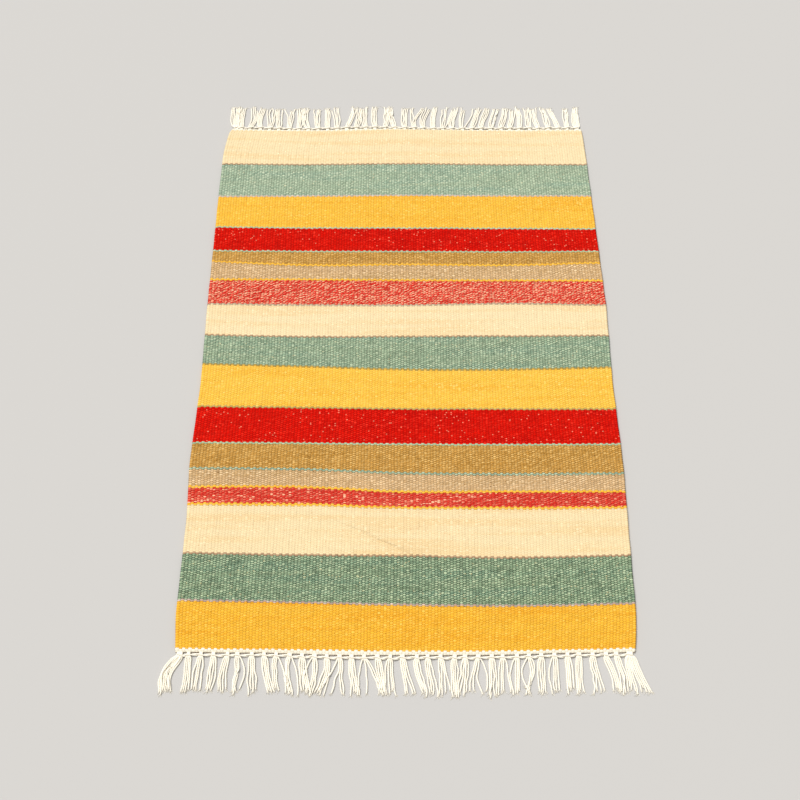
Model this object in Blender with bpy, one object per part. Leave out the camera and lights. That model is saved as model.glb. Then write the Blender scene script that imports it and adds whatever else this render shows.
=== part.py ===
"""A flat-woven striped rug with a fringe at each end, lying flat.

One woven field, whose warps stand up as fine ribs that run its whole length, and a fringe at each
end: the warp ends, gathered four by four under one twined cord, lying loose on the floor beyond it.
X runs across the rug, Y along it and Z up. The origin is on the floor under the rug's middle.
"Across" is measured from the rug's left side, and "along" from the far end of its field.
"""

from math import pi, sin
from typing import NamedTuple

import bmesh
import bpy
from mathutils import Vector

MM = 0.001

# The woven field
FIELD_WIDTH = 600 * MM
FIELD_LENGTH = 908 * MM
RIBS = 144
SELVEDGE_WIDTH = 5.0 * MM
CROWN_HEIGHT = 4.0 * MM
VALLEY_HEIGHT = 3.2 * MM
SELVEDGE_HEIGHT = 4.5 * MM

# The fringe
PARTING = 0.3 * MM
GROUPS = 37
CORNER_GROUP = 5.8 * MM
FIRST_FULL_GROUP = 17.4 * MM
LAST_GROUP = 7.5 * MM
GROUP_DRIFT = 0.8 * MM
STRANDS_PER_GROUP = 4
STRAND_WIDTH = 1.8 * MM
STRAND_HEIGHT = 2.0 * MM
ROOT_PITCH = 2.45 * MM
TIP_WIDTH = 2.2 * MM
TIP_HEIGHT = 1.0 * MM
TIP_PITCH = 3.0 * MM
STRAND_STEPS = 3
KNOT_HALF_WIDTH = 5.0 * MM
KNOT_DEPTH = 5.0 * MM
KNOT_SIDE_HEIGHT = 2.6 * MM
KNOT_RIDGE_HEIGHT = 4.2 * MM
CORD_INNER = 1.8 * MM
CORD_OUTER = 4.4 * MM
CORD_SIDE_HEIGHT = 1.6 * MM
CORD_RIDGE_HEIGHT = 2.8 * MM


class Edge(NamedTuple):
    """How far the field's two sides stand out from their nominal lines, at one place along it."""

    along: float
    left: float
    right: float


OUTLINE = (
    Edge(along=0 * MM, left=-4.0 * MM, right=0.5 * MM),
    Edge(along=48 * MM, left=4.0 * MM, right=3.0 * MM),
    Edge(along=138 * MM, left=5.0 * MM, right=5.0 * MM),
    Edge(along=273 * MM, left=5.0 * MM, right=8.0 * MM),
    Edge(along=363 * MM, left=5.0 * MM, right=10.0 * MM),
    Edge(along=498 * MM, left=3.0 * MM, right=7.0 * MM),
    Edge(along=633 * MM, left=7.5 * MM, right=9.5 * MM),
    Edge(along=723 * MM, left=3.5 * MM, right=7.0 * MM),
    Edge(along=858 * MM, left=5.0 * MM, right=5.0 * MM),
    Edge(along=908 * MM, left=0.5 * MM, right=-1.5 * MM),
)


class Bow(NamedTuple):
    """How far an end of the field stands out from its nominal line, at one share of the width."""

    share: float
    out: float


FAR_BOW = (
    Bow(share=0.0, out=0.5 * MM),
    Bow(share=0.23, out=-2.2 * MM),
    Bow(share=0.40, out=1.6 * MM),
    Bow(share=0.62, out=-1.6 * MM),
    Bow(share=1.0, out=-0.5 * MM),
)
NEAR_BOW = (
    Bow(share=0.0, out=-2.5 * MM),
    Bow(share=0.17, out=-2.0 * MM),
    Bow(share=0.38, out=1.5 * MM),
    Bow(share=0.65, out=1.3 * MM),
    Bow(share=0.93, out=-2.0 * MM),
    Bow(share=1.0, out=-2.5 * MM),
)


class Fold(NamedTuple):
    """A soft fold that crosses part of the field slantwise."""

    start_across: float
    start_along: float
    end_across: float
    end_along: float
    fade: float
    half_width: float
    height: float


SOFT_FOLD = Fold(
    start_across=185 * MM,
    start_along=703 * MM,
    end_across=340 * MM,
    end_along=783 * MM,
    fade=45 * MM,
    half_width=16 * MM,
    height=1.6 * MM,
)

# Where the field's mesh has a row of points: these places along it, and three rows on the fold
PLAIN_ROWS_BEFORE_FOLD = (48 * MM, 138 * MM, 273 * MM, 363 * MM, 498 * MM, 633 * MM)
PLAIN_ROWS_AFTER_FOLD = (858 * MM,)


class Lean(NamedTuple):
    """How far sideways the strands' tips lie from their roots, at one share of the width."""

    share: float
    sideways: float


class Fringe(NamedTuple):
    """The fringe of one end: its name, the end it hangs from and how its strands lie."""

    name: str
    end: int
    bow: tuple
    lean: tuple
    length: float
    unevenness: float
    colour: tuple


COTTON = (0.93, 0.85, 0.66)
NEAR_END = -1
FAR_END = 1
NEAR_LEAN = (
    Lean(share=0.0, sideways=-22 * MM),
    Lean(share=0.042, sideways=-5 * MM),
    Lean(share=0.10, sideways=-1.5 * MM),
    Lean(share=0.18, sideways=1 * MM),
    Lean(share=0.25, sideways=8 * MM),
    Lean(share=0.35, sideways=1 * MM),
    Lean(share=0.45, sideways=9 * MM),
    Lean(share=0.55, sideways=6 * MM),
    Lean(share=0.64, sideways=-3 * MM),
    Lean(share=0.80, sideways=-2 * MM),
    Lean(share=0.93, sideways=8 * MM),
    Lean(share=1.0, sideways=18 * MM),
)
FAR_LEAN = (
    Lean(share=0.0, sideways=-9 * MM),
    Lean(share=0.05, sideways=0 * MM),
    Lean(share=0.12, sideways=4 * MM),
    Lean(share=0.28, sideways=-3 * MM),
    Lean(share=0.36, sideways=6 * MM),
    Lean(share=0.46, sideways=-1 * MM),
    Lean(share=0.60, sideways=9 * MM),
    Lean(share=0.72, sideways=8 * MM),
    Lean(share=0.90, sideways=-3 * MM),
    Lean(share=1.0, sideways=1 * MM),
)
FRINGES = (
    Fringe("near_fringe", NEAR_END, NEAR_BOW, NEAR_LEAN, 47 * MM, 3.5 * MM, COTTON),
    Fringe("far_fringe", FAR_END, FAR_BOW, FAR_LEAN, 45 * MM, 3.0 * MM, COTTON),
)


class Stripe(NamedTuple):
    """One coloured stripe of the weft: how far down the field it ends, and its colour."""

    ends_along: float
    colour: tuple


CREAM = (0.95, 0.79, 0.48)
TEAL = (0.37, 0.44, 0.30)
YELLOW = (0.93, 0.53, 0.07)
RED = (0.66, 0.015, 0.008)
OCHRE = (0.60, 0.34, 0.09)
BEIGE = (0.70, 0.45, 0.22)
PINK = (0.78, 0.14, 0.08)
STRIPES = (
    Stripe(77.5 * MM, CREAM),
    Stripe(146.5 * MM, TEAL),
    Stripe(214 * MM, YELLOW),
    Stripe(255.5 * MM, RED),
    Stripe(283.5 * MM, OCHRE),
    Stripe(313.5 * MM, BEIGE),
    Stripe(360.5 * MM, PINK),
    Stripe(417.5 * MM, CREAM),
    Stripe(475 * MM, TEAL),
    Stripe(543.5 * MM, YELLOW),
    Stripe(598.5 * MM, RED),
    Stripe(643.5 * MM, OCHRE),
    Stripe(674.5 * MM, BEIGE),
    Stripe(700 * MM, PINK),
    Stripe(771.5 * MM, CREAM),
    Stripe(840.5 * MM, TEAL),
    Stripe(901.5 * MM, YELLOW),
    Stripe(FIELD_LENGTH, COTTON),
)


def clamp(value):
    """The value, kept between 0 and 1."""
    return min(1.0, max(0.0, value))


def ease(value):
    """A smooth step from 0 to 1."""
    value = clamp(value)
    return value * value * (3 - 2 * value)


def read_table(table, place):
    """The rows' other values at a place, eased between the two rows that it lies between."""
    for row, following in zip(table, table[1:]):
        if place <= following[0]:
            share = ease((place - row[0]) / (following[0] - row[0]))
            return [a + (b - a) * share for a, b in zip(row[1:], following[1:])]
    return list(table[-1][1:])


def rug_point(across, along, height):
    """A point of the rug, from its place across and along the field."""
    return Vector((across - FIELD_WIDTH / 2, FIELD_LENGTH / 2 - along, height))


def rib_shares():
    """The shares of the width where the field has a line of points: valley, crown, valley and so on."""
    selvedge = SELVEDGE_WIDTH / FIELD_WIDTH
    inner = (1 - 2 * selvedge) / (RIBS - 2)
    shares = [0.0, selvedge / 2]
    for rib in range(RIBS - 2):
        shares += [selvedge + rib * inner, selvedge + (rib + 0.5) * inner]
    return shares + [1 - selvedge, 1 - selvedge / 2, 1.0]


def rib_height(column):
    """The height of the cloth's face on one line of points: low in a valley, high on a crown."""
    if column % 2 == 0:
        return VALLEY_HEIGHT
    on_selvedge = column in (1, 2 * RIBS - 1)
    return SELVEDGE_HEIGHT if on_selvedge else CROWN_HEIGHT


def fold_crest(share):
    """Where the soft fold's crest lies along the field, at one share of the width."""
    run = SOFT_FOLD.end_across - SOFT_FOLD.start_across
    way = clamp((share * FIELD_WIDTH - SOFT_FOLD.start_across) / run)
    return SOFT_FOLD.start_along + way * (SOFT_FOLD.end_along - SOFT_FOLD.start_along)


def fold_height(share):
    """How high the soft fold lifts the cloth at its crest, at one share of the width."""
    across = share * FIELD_WIDTH
    rise = ease((across - SOFT_FOLD.start_across + SOFT_FOLD.fade) / SOFT_FOLD.fade)
    fall = ease((SOFT_FOLD.end_across + SOFT_FOLD.fade - across) / SOFT_FOLD.fade)
    return SOFT_FOLD.height * rise * fall


def field_rows():
    """For each row of the field's points, the functions that give its place along and its lift."""

    def level(_share):
        return 0.0

    rows = [(lambda share: -read_table(FAR_BOW, share)[0], level)]
    for place in PLAIN_ROWS_BEFORE_FOLD:
        rows.append((lambda share, place=place: place, level))
    rows.append((lambda share: fold_crest(share) - SOFT_FOLD.half_width, level))
    rows.append((fold_crest, fold_height))
    rows.append((lambda share: fold_crest(share) + SOFT_FOLD.half_width, level))
    for place in PLAIN_ROWS_AFTER_FOLD:
        rows.append((lambda share, place=place: place, level))
    rows.append((lambda share: FIELD_LENGTH + read_table(NEAR_BOW, share)[0], level))
    return rows


def field_point(column, share, row):
    """One point on the field's upper face."""
    place, lift = row
    along = place(share)
    left, right = read_table(OUTLINE, along)
    across = -left + share * (FIELD_WIDTH + left + right)
    return rug_point(across, along, rib_height(column) + lift(share))


def field_mesh():
    """The woven field: a ribbed upper face, four edges straight down and a flat underside."""
    shape = bmesh.new()
    rows = field_rows()
    grid = [
        [shape.verts.new(field_point(column, share, row)) for row in rows]
        for column, share in enumerate(rib_shares())
    ]
    for line, following in zip(grid, grid[1:]):
        for row in range(len(rows) - 1):
            shape.faces.new((line[row], line[row + 1], following[row + 1], following[row]))
    rim = grid[0] + [line[-1] for line in grid[1:]]
    rim += grid[-1][-2::-1] + [line[0] for line in grid[-2:0:-1]]
    hem = [shape.verts.new((vert.co.x, vert.co.y, 0.0)) for vert in rim]
    for place, vert in enumerate(rim):
        ahead = (place + 1) % len(rim)
        shape.faces.new((vert, hem[place], hem[ahead], rim[ahead]))
    shape.faces.new(hem)
    return shape


def group_centre(fringe, group):
    """How far across the rug a warp group leaves the edge cord, the left corner's close to it."""
    corner = OUTLINE[0] if fringe.end == FAR_END else OUTLINE[-1]
    if group == 0:
        return CORNER_GROUP - corner.left
    first = FIRST_FULL_GROUP - corner.left
    last = FIELD_WIDTH + corner.right - LAST_GROUP
    inner = 1 < group < GROUPS - 1
    drift = GROUP_DRIFT * sin(group * 2.1) if inner else 0.0
    return first + (last - first) * (group - 1) / (GROUPS - 2) + drift


def fringe_point(fringe, across, out, height):
    """A point of a fringe, from its place across the rug and how far out it lies from the field."""
    share = clamp(across / FIELD_WIDTH)
    edge = FIELD_LENGTH / 2 + read_table(fringe.bow, share)[0] + PARTING
    return Vector((across - FIELD_WIDTH / 2, fringe.end * (edge + out), height))


def cord_ring(shape, fringe, across, inner, outer, side, ridge):
    """The edge cord's five points at one place: up the field's side, over its ridge and down."""
    middle = (inner + outer) / 2
    corners = ((inner, 0.0), (inner, side), (middle, ridge), (outer, side), (outer, 0.0))
    return [shape.verts.new(fringe_point(fringe, across, out, up)) for out, up in corners]


def strand_ring(shape, centre, direction, width, height):
    """The three points round a strand: left and right on the floor, and its ridge."""
    sideways = Vector((-direction.y, direction.x, 0.0)).normalized() * (width / 2)
    if sideways.x > 0:
        sideways.negate()
    ridge = centre + Vector((0, 0, height))
    return [shape.verts.new(place) for place in (centre + sideways, centre - sideways, ridge)]


def strand_centres(fringe, group, strand):
    """The points that one strand follows over the floor, from the edge cord to its tip."""
    place = strand - (STRANDS_PER_GROUP - 1) / 2
    middle = group_centre(fringe, group)
    lean = read_table(fringe.lean, group / (GROUPS - 1))[0]
    number = group * STRANDS_PER_GROUP + strand
    length = fringe.length + fringe.unevenness * sin(number * 2.4) * sin(number * 0.7 + 1)
    sway = 1.2 * MM * sin(group * 1.9)
    centres = []
    for step in range(STRAND_STEPS + 1):
        out = length * step / STRAND_STEPS
        way = out / fringe.length
        spacing = ROOT_PITCH + (TIP_PITCH - ROOT_PITCH) * way
        across = middle + place * spacing + lean * way + sway * sin(way * 2 * pi)
        centres.append((across, KNOT_DEPTH + out))
    return [fringe_point(fringe, across, out, 0.0) for across, out in centres]


def add_strand(shape, root, centres):
    """One three-sided strand, lying on the floor from its root on the knot to its tip."""
    ring = root
    for step in range(1, STRAND_STEPS + 1):
        way = step / STRAND_STEPS
        ahead = centres[min(step + 1, STRAND_STEPS)]
        width = STRAND_WIDTH + (TIP_WIDTH - STRAND_WIDTH) * way ** 2
        height = STRAND_HEIGHT + (TIP_HEIGHT - STRAND_HEIGHT) * way ** 2
        following = strand_ring(shape, centres[step], ahead - centres[step - 1], width, height)
        for side in range(3):
            other = (side + 1) % 3
            shape.faces.new((ring[side], ring[other], following[other], following[side]))
        ring = following
    shape.faces.new(ring)


def add_knot(shape, fringe, group):
    """One warp group's knot, with its strands. Returns the rings of points at its two sides."""
    middle = group_centre(fringe, group)
    size = (0.0, KNOT_DEPTH, KNOT_SIDE_HEIGHT, KNOT_RIDGE_HEIGHT)
    left, right = [
        cord_ring(shape, fringe, middle + side * KNOT_HALF_WIDTH, *size) for side in (-1, 1)
    ]
    floor_line, wall_line = [], []
    for strand in range(STRANDS_PER_GROUP):
        centres = strand_centres(fringe, group, strand)
        root = strand_ring(shape, centres[0], Vector((0, 1, 0)), STRAND_WIDTH, STRAND_HEIGHT)
        add_strand(shape, root, centres)
        floor_line += root[:2]
        wall_line += [root[0], root[2], root[1]]
    shape.faces.new([left[0], left[4], *floor_line, right[4], right[0]])
    shape.faces.new([left[3], left[4], *wall_line, right[4], right[3]])
    for side in range(3):
        shape.faces.new((left[side], left[side + 1], right[side + 1], right[side]))
    return left, right


def join_rings(shape, ring, following):
    """The faces of the edge cord between two of its rings."""
    for side in range(len(ring)):
        other = (side + 1) % len(ring)
        shape.faces.new((ring[side], ring[other], following[other], following[side]))


def fringe_mesh(fringe):
    """One fringe: the edge cord, thick at each knot and thin between, and every strand."""
    shape = bmesh.new()
    knots = [add_knot(shape, fringe, group) for group in range(GROUPS)]
    size = (CORD_INNER, CORD_OUTER, CORD_SIDE_HEIGHT, CORD_RIDGE_HEIGHT)
    for group in range(GROUPS - 1):
        across = (group_centre(fringe, group) + group_centre(fringe, group + 1)) / 2
        cord = cord_ring(shape, fringe, across, *size)
        join_rings(shape, knots[group][1], cord)
        join_rings(shape, cord, knots[group + 1][0])
    shape.faces.new(knots[0][0])
    shape.faces.new(knots[-1][1])
    return shape


def new_material(name, colour, roughness):
    """A plain material with one colour, not metallic."""
    material = bpy.data.materials.new(name)
    material.use_nodes = True
    shader = material.node_tree.nodes["Principled BSDF"]
    shader.inputs["Base Color"].default_value = (*colour, 1.0)
    shader.inputs["Roughness"].default_value = roughness
    shader.inputs["Metallic"].default_value = 0.0
    return material


def striped_material():
    """The wool of the field, its stripes laid along the rug's length by a stepped colour ramp."""
    material = new_material("striped_wool", CREAM, 0.9)
    nodes, links = material.node_tree.nodes, material.node_tree.links
    place = nodes.new("ShaderNodeTexCoord")
    split = nodes.new("ShaderNodeSeparateXYZ")
    along = nodes.new("ShaderNodeMapRange")
    ramp = nodes.new("ShaderNodeValToRGB")
    along.inputs["From Min"].default_value = FIELD_LENGTH / 2
    along.inputs["From Max"].default_value = -FIELD_LENGTH / 2
    ramp.color_ramp.interpolation = "CONSTANT"
    starts = [0.0] + [stripe.ends_along / FIELD_LENGTH for stripe in STRIPES[:-1]]
    for start, stripe in zip(starts, STRIPES):
        first = start == 0.0
        step = ramp.color_ramp.elements[0] if first else ramp.color_ramp.elements.new(start)
        step.color = (*stripe.colour, 1.0)
    ramp.color_ramp.elements.remove(ramp.color_ramp.elements[-1])
    links.new(place.outputs["Object"], split.inputs["Vector"])
    links.new(split.outputs["Y"], along.inputs["Value"])
    links.new(along.outputs["Result"], ramp.inputs["Fac"])
    links.new(ramp.outputs["Color"], material.node_tree.nodes["Principled BSDF"].inputs["Base Color"])
    return material


def new_object(name, shape, material):
    """A named object made of a shape, with its faces pointing out."""
    bmesh.ops.recalc_face_normals(shape, faces=shape.faces)
    mesh = bpy.data.meshes.new(name)
    shape.to_mesh(mesh)
    shape.free()
    mesh.materials.append(material)
    thing = bpy.data.objects.new(name, mesh)
    bpy.context.collection.objects.link(thing)
    return thing


def centre_on_origin(things):
    """Moves the things together until the middle of their box is over the origin."""
    places = [vert.co for thing in things for vert in thing.data.vertices]
    middle = Vector(
        (
            (min(place.x for place in places) + max(place.x for place in places)) / 2,
            (min(place.y for place in places) + max(place.y for place in places)) / 2,
            0.0,
        )
    )
    for thing in things:
        thing.location = -middle


def clear_scene():
    """Removes every object, so that the rug is alone."""
    for thing in list(bpy.data.objects):
        bpy.data.objects.remove(thing, do_unlink=True)


def build_rug():
    """Builds the field and its two fringes."""
    clear_scene()
    things = [new_object("field", field_mesh(), striped_material())]
    for fringe in FRINGES:
        cotton = new_material(f"{fringe.name}_cotton", fringe.colour, 0.95)
        things.append(new_object(fringe.name, fringe_mesh(fringe), cotton))
    centre_on_origin(things)


build_rug()
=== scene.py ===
"""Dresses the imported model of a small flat-woven rug with yarn-scale weave and loose cotton fringes.

The rug is weft-faced plain weave: doubled cotton warps stand as 144 ribs, and every pass of dyed wool
goes over one rib and under the next, beaten down so that the warps are hidden. At both ends the warps
leave a short cotton band, are caught four by four by a pair of twined cords, and lie loose beyond.

Places on the rug are given "across" it from its left side and "along" it from its far end, and
"out" is the distance from an end of the woven field into that end's fringe. All lengths are metres.
"""

from __future__ import annotations

import logging
import math
from dataclasses import dataclass, field
from enum import Enum, IntEnum
from typing import NamedTuple, Sequence

import bpy
import numpy as np
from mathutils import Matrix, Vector

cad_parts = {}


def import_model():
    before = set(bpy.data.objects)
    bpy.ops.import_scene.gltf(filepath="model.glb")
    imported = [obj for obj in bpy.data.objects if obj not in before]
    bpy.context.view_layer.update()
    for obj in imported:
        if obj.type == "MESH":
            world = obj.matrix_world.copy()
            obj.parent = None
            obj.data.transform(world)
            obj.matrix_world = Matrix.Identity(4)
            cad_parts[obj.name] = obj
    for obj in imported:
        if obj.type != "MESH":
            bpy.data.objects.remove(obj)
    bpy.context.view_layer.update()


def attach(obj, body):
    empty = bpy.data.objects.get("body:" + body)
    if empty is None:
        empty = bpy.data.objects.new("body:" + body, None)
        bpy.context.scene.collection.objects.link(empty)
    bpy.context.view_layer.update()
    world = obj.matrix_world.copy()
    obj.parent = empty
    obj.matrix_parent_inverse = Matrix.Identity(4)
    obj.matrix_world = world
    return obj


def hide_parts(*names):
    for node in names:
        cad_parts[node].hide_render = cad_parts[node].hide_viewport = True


LOG = logging.getLogger("rug")
MM = 0.001
TAU = 2 * math.pi
BODY = "root"
WEAVE_MAP = "Weave"
YARN_MAP = "Yarn"
PIECE_MAP = "OFBake"
STRIP_DEPTH = 0.008  # of a narrow strip on a piece's map
CELL_FILL = (0.9, 0.96)  # how much of its cell on a piece's map a length of yarn takes, across and down
YARN_TWIST = 0.15  # turns for each millimetre of cotton yarn
PLIES = 2  # of cotton yarn

RGB = tuple[float, float, float]
Socket = bpy.types.NodeSocket
Outputs = bpy.types.bpy_prop_collection


# ------------------------------------------------------------------ small tools


def smooth_step(value: np.ndarray | float) -> np.ndarray:
    """A smooth step of the value from 0 to 1."""
    value = np.clip(value, 0.0, 1.0)
    return value * value * (3 - 2 * value)


def spline(values: np.ndarray, place: np.ndarray) -> np.ndarray:
    """A smooth curve through evenly spaced values.

    Args:
        values: the values, one for each step of the first side of the array.
        place: where to read the curve, from 0 to the last value's number.

    Returns:
        The curve at each place, in the places' shape with the values' other sides after it.
    """
    padded = np.concatenate([2 * values[:1] - values[1:2], values, 2 * values[-1:] - values[-2:-1]])
    first = np.minimum(place.astype(int), len(values) - 2)
    t = (place - first).reshape(place.shape + (1,) * (values.ndim - 1))
    a, b, c, d = (padded[first + step] for step in range(4))
    return 0.5 * (2 * b + (c - a) * t + (2 * a - 5 * b + 4 * c - d) * t**2 + (3 * b - a - 3 * c + d) * t**3)


def slow_noise(seed: int, across: np.ndarray, along: np.ndarray, size: float) -> np.ndarray:
    """Gentle two-way unevenness, a few summed waves with seeded directions.

    Args:
        seed: picks the waves.
        across: places across the rug.
        along: places along the rug.
        size: the shortest wave's length.

    Returns:
        A value between about -1 and 1 at each place.
    """
    rng = np.random.default_rng(seed)
    total = np.zeros(np.broadcast(across, along).shape)
    for longer in 0.6 * np.arange(7):
        wave = size * (1 + longer)
        turn, phase = rng.uniform(0, TAU, 2)
        total += np.sin(TAU * (across * math.cos(turn) + along * math.sin(turn)) / wave + phase)
    return total / 4


def patches(left: np.ndarray, right: np.ndarray, start: np.ndarray, end: np.ndarray) -> np.ndarray:
    """Rectangles on a piece's map.

    Args:
        left: their left sides.
        right: their right sides.
        start: the sides where they start.
        end: the sides where they end.

    Returns:
        For each rectangle, its four corners' places.
    """
    corners = (left, start), (left, end), (right, end), (right, start)
    return np.stack([np.stack(np.broadcast_arrays(*corner), -1) for corner in corners], -2)


@dataclass
class MeshParts:
    """Points and faces that are gathered before they become one mesh, mapped corner by corner."""

    points: list[np.ndarray] = field(default_factory=list)
    faces: list[np.ndarray] = field(default_factory=list)
    dyes: list[np.ndarray] = field(default_factory=list)
    sharp: list[np.ndarray] = field(default_factory=list)
    drawn: list[np.ndarray] = field(default_factory=list)
    baked: list[np.ndarray] = field(default_factory=list)
    count: int = 0

    def add_points(self, points: np.ndarray) -> np.ndarray:
        """Adds points.

        Args:
            points: the points, in an array of any shape.

        Returns:
            Their numbers, in the same shape.
        """
        shape = points.shape[:-1]
        flat = points.reshape(-1, 3)
        numbers = np.arange(self.count, self.count + len(flat)).reshape(shape)
        self.points.append(flat)
        self.count += len(flat)
        return numbers

    def add_faces(
        self,
        corners: np.ndarray,
        drawn: np.ndarray,
        baked: np.ndarray,
        dyes: np.ndarray | int = 0,
        sharp: bool = False,
    ) -> None:
        """Adds faces of three or four corners.

        Args:
            corners: the numbers of the faces' points, the last side their corners.
            drawn: each corner's place on the map that the material reads.
            baked: each corner's place on the map for an image of the whole piece.
            dyes: each face's material number.
            sharp: whether the faces' edges stay sharp.
        """
        sides = corners.shape[-1]
        flat = corners.reshape(-1, sides)
        self.faces.append(flat)
        self.dyes.append(np.broadcast_to(dyes, corners.shape[:-1]).reshape(-1))
        self.sharp.append(np.full(len(flat), sharp))
        self.drawn.append(np.broadcast_to(drawn, (*corners.shape, 2)).reshape(-1, 2))
        self.baked.append(np.broadcast_to(baked, (*corners.shape, 2)).reshape(-1, 2))

    def add_grid(
        self,
        numbers: np.ndarray,
        drawn: np.ndarray,
        baked: np.ndarray,
        dyes: np.ndarray | int = 0,
        turned: bool = False,
    ) -> None:
        """Adds the cells of a grid of points as faces.

        Args:
            numbers: the points' numbers, rows by columns.
            drawn: each point's place on the map that the material reads.
            baked: each cell's corners on the map for an image of the whole piece.
            dyes: each cell's material number.
            turned: whether the faces look the other way.
        """
        corners = self.cells(numbers[..., None], turned)[..., 0]
        self.add_faces(corners, self.cells(drawn, turned), baked, dyes)

    @staticmethod
    def cells(grid: np.ndarray, turned: bool = False) -> np.ndarray:
        """The four corners of each cell of a grid.

        Args:
            grid: rows by columns, the last side being what each point holds.
            turned: whether the corners go round the other way.

        Returns:
            For each cell, what its four corners hold.
        """
        this, following = grid[..., :-1, :, :], grid[..., 1:, :, :]
        left, right = slice(None, -1), slice(1, None)
        corners = [this[..., left, :], following[..., left, :], following[..., right, :], this[..., right, :]]
        return np.stack(corners[::-1] if turned else corners, -2)

    def zip_lines(
        self, first: np.ndarray, second: np.ndarray, strip: float, drawn: np.ndarray
    ) -> None:
        """Fills the gap between two lines of points with triangles, whatever their counts.

        Args:
            first: the numbers of the points on one line.
            second: the numbers on the other, which runs the same way.
            strip: how high the gap's own narrow strip starts on the piece's map.
            drawn: one place on the material's map, for all of the gap.
        """
        lines = first, second
        ends = [len(line) - 1 for line in lines]
        corners, places = [], []

        def spot(line: int, at: int) -> tuple[float, float]:
            """A point's place on the piece's map."""
            return at / ends[line], strip + line * STRIP_DEPTH

        here, there = 0, 0
        while here < ends[0] or there < ends[1]:
            behind = (here + 1) / ends[0] <= (there + 1) / ends[1]
            ahead = there == ends[1] or (here < ends[0] and behind)
            third = (0, here + 1) if ahead else (1, there + 1)
            triangle = ((0, here), (1, there), third)
            corners.append([lines[line][at] for line, at in triangle])
            places.append([spot(line, at) for line, at in triangle])
            here, there = (here + 1, there) if ahead else (here, there + 1)
        self.add_faces(np.array(corners), drawn, np.array(places), sharp=True)

    def build(
        self, name: str, drawn_map: str, materials: Sequence[bpy.types.Material]
    ) -> bpy.types.Object:
        """Makes the object.

        Args:
            name: the piece's name.
            drawn_map: the name of the map that its material reads.
            materials: the materials, in the order of their numbers.

        Returns:
            The new object, smooth but for its sharp faces.
        """
        mesh = bpy.data.meshes.new(name)
        corners = np.concatenate([faces.reshape(-1) for faces in self.faces])
        sizes = np.concatenate([np.full(len(faces), faces.shape[1]) for faces in self.faces])
        starts = np.concatenate(([0], np.cumsum(sizes)[:-1]))
        mesh.vertices.add(self.count)
        mesh.vertices.foreach_set("co", np.concatenate(self.points).astype(np.float32).ravel())
        mesh.loops.add(len(corners))
        mesh.loops.foreach_set("vertex_index", corners.astype(np.int32))
        mesh.polygons.add(len(sizes))
        mesh.polygons.foreach_set("loop_start", starts.astype(np.int32))
        mesh.polygons.foreach_set("material_index", np.concatenate(self.dyes).astype(np.int32))
        for material in materials:
            mesh.materials.append(material)
        for label, maps in ((drawn_map, self.drawn), (PIECE_MAP, self.baked)):
            places = np.concatenate(maps).astype(np.float32)
            mesh.uv_layers.new(name=label).uv.foreach_set("vector", places.ravel())
        mesh.update(calc_edges=True)
        mesh.polygons.foreach_set("use_smooth", ~np.concatenate(self.sharp))
        mesh.update()
        piece = bpy.data.objects.new(name, mesh)
        bpy.context.scene.collection.objects.link(piece)
        return piece


# ------------------------------------------------------------------ shader graphs


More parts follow.
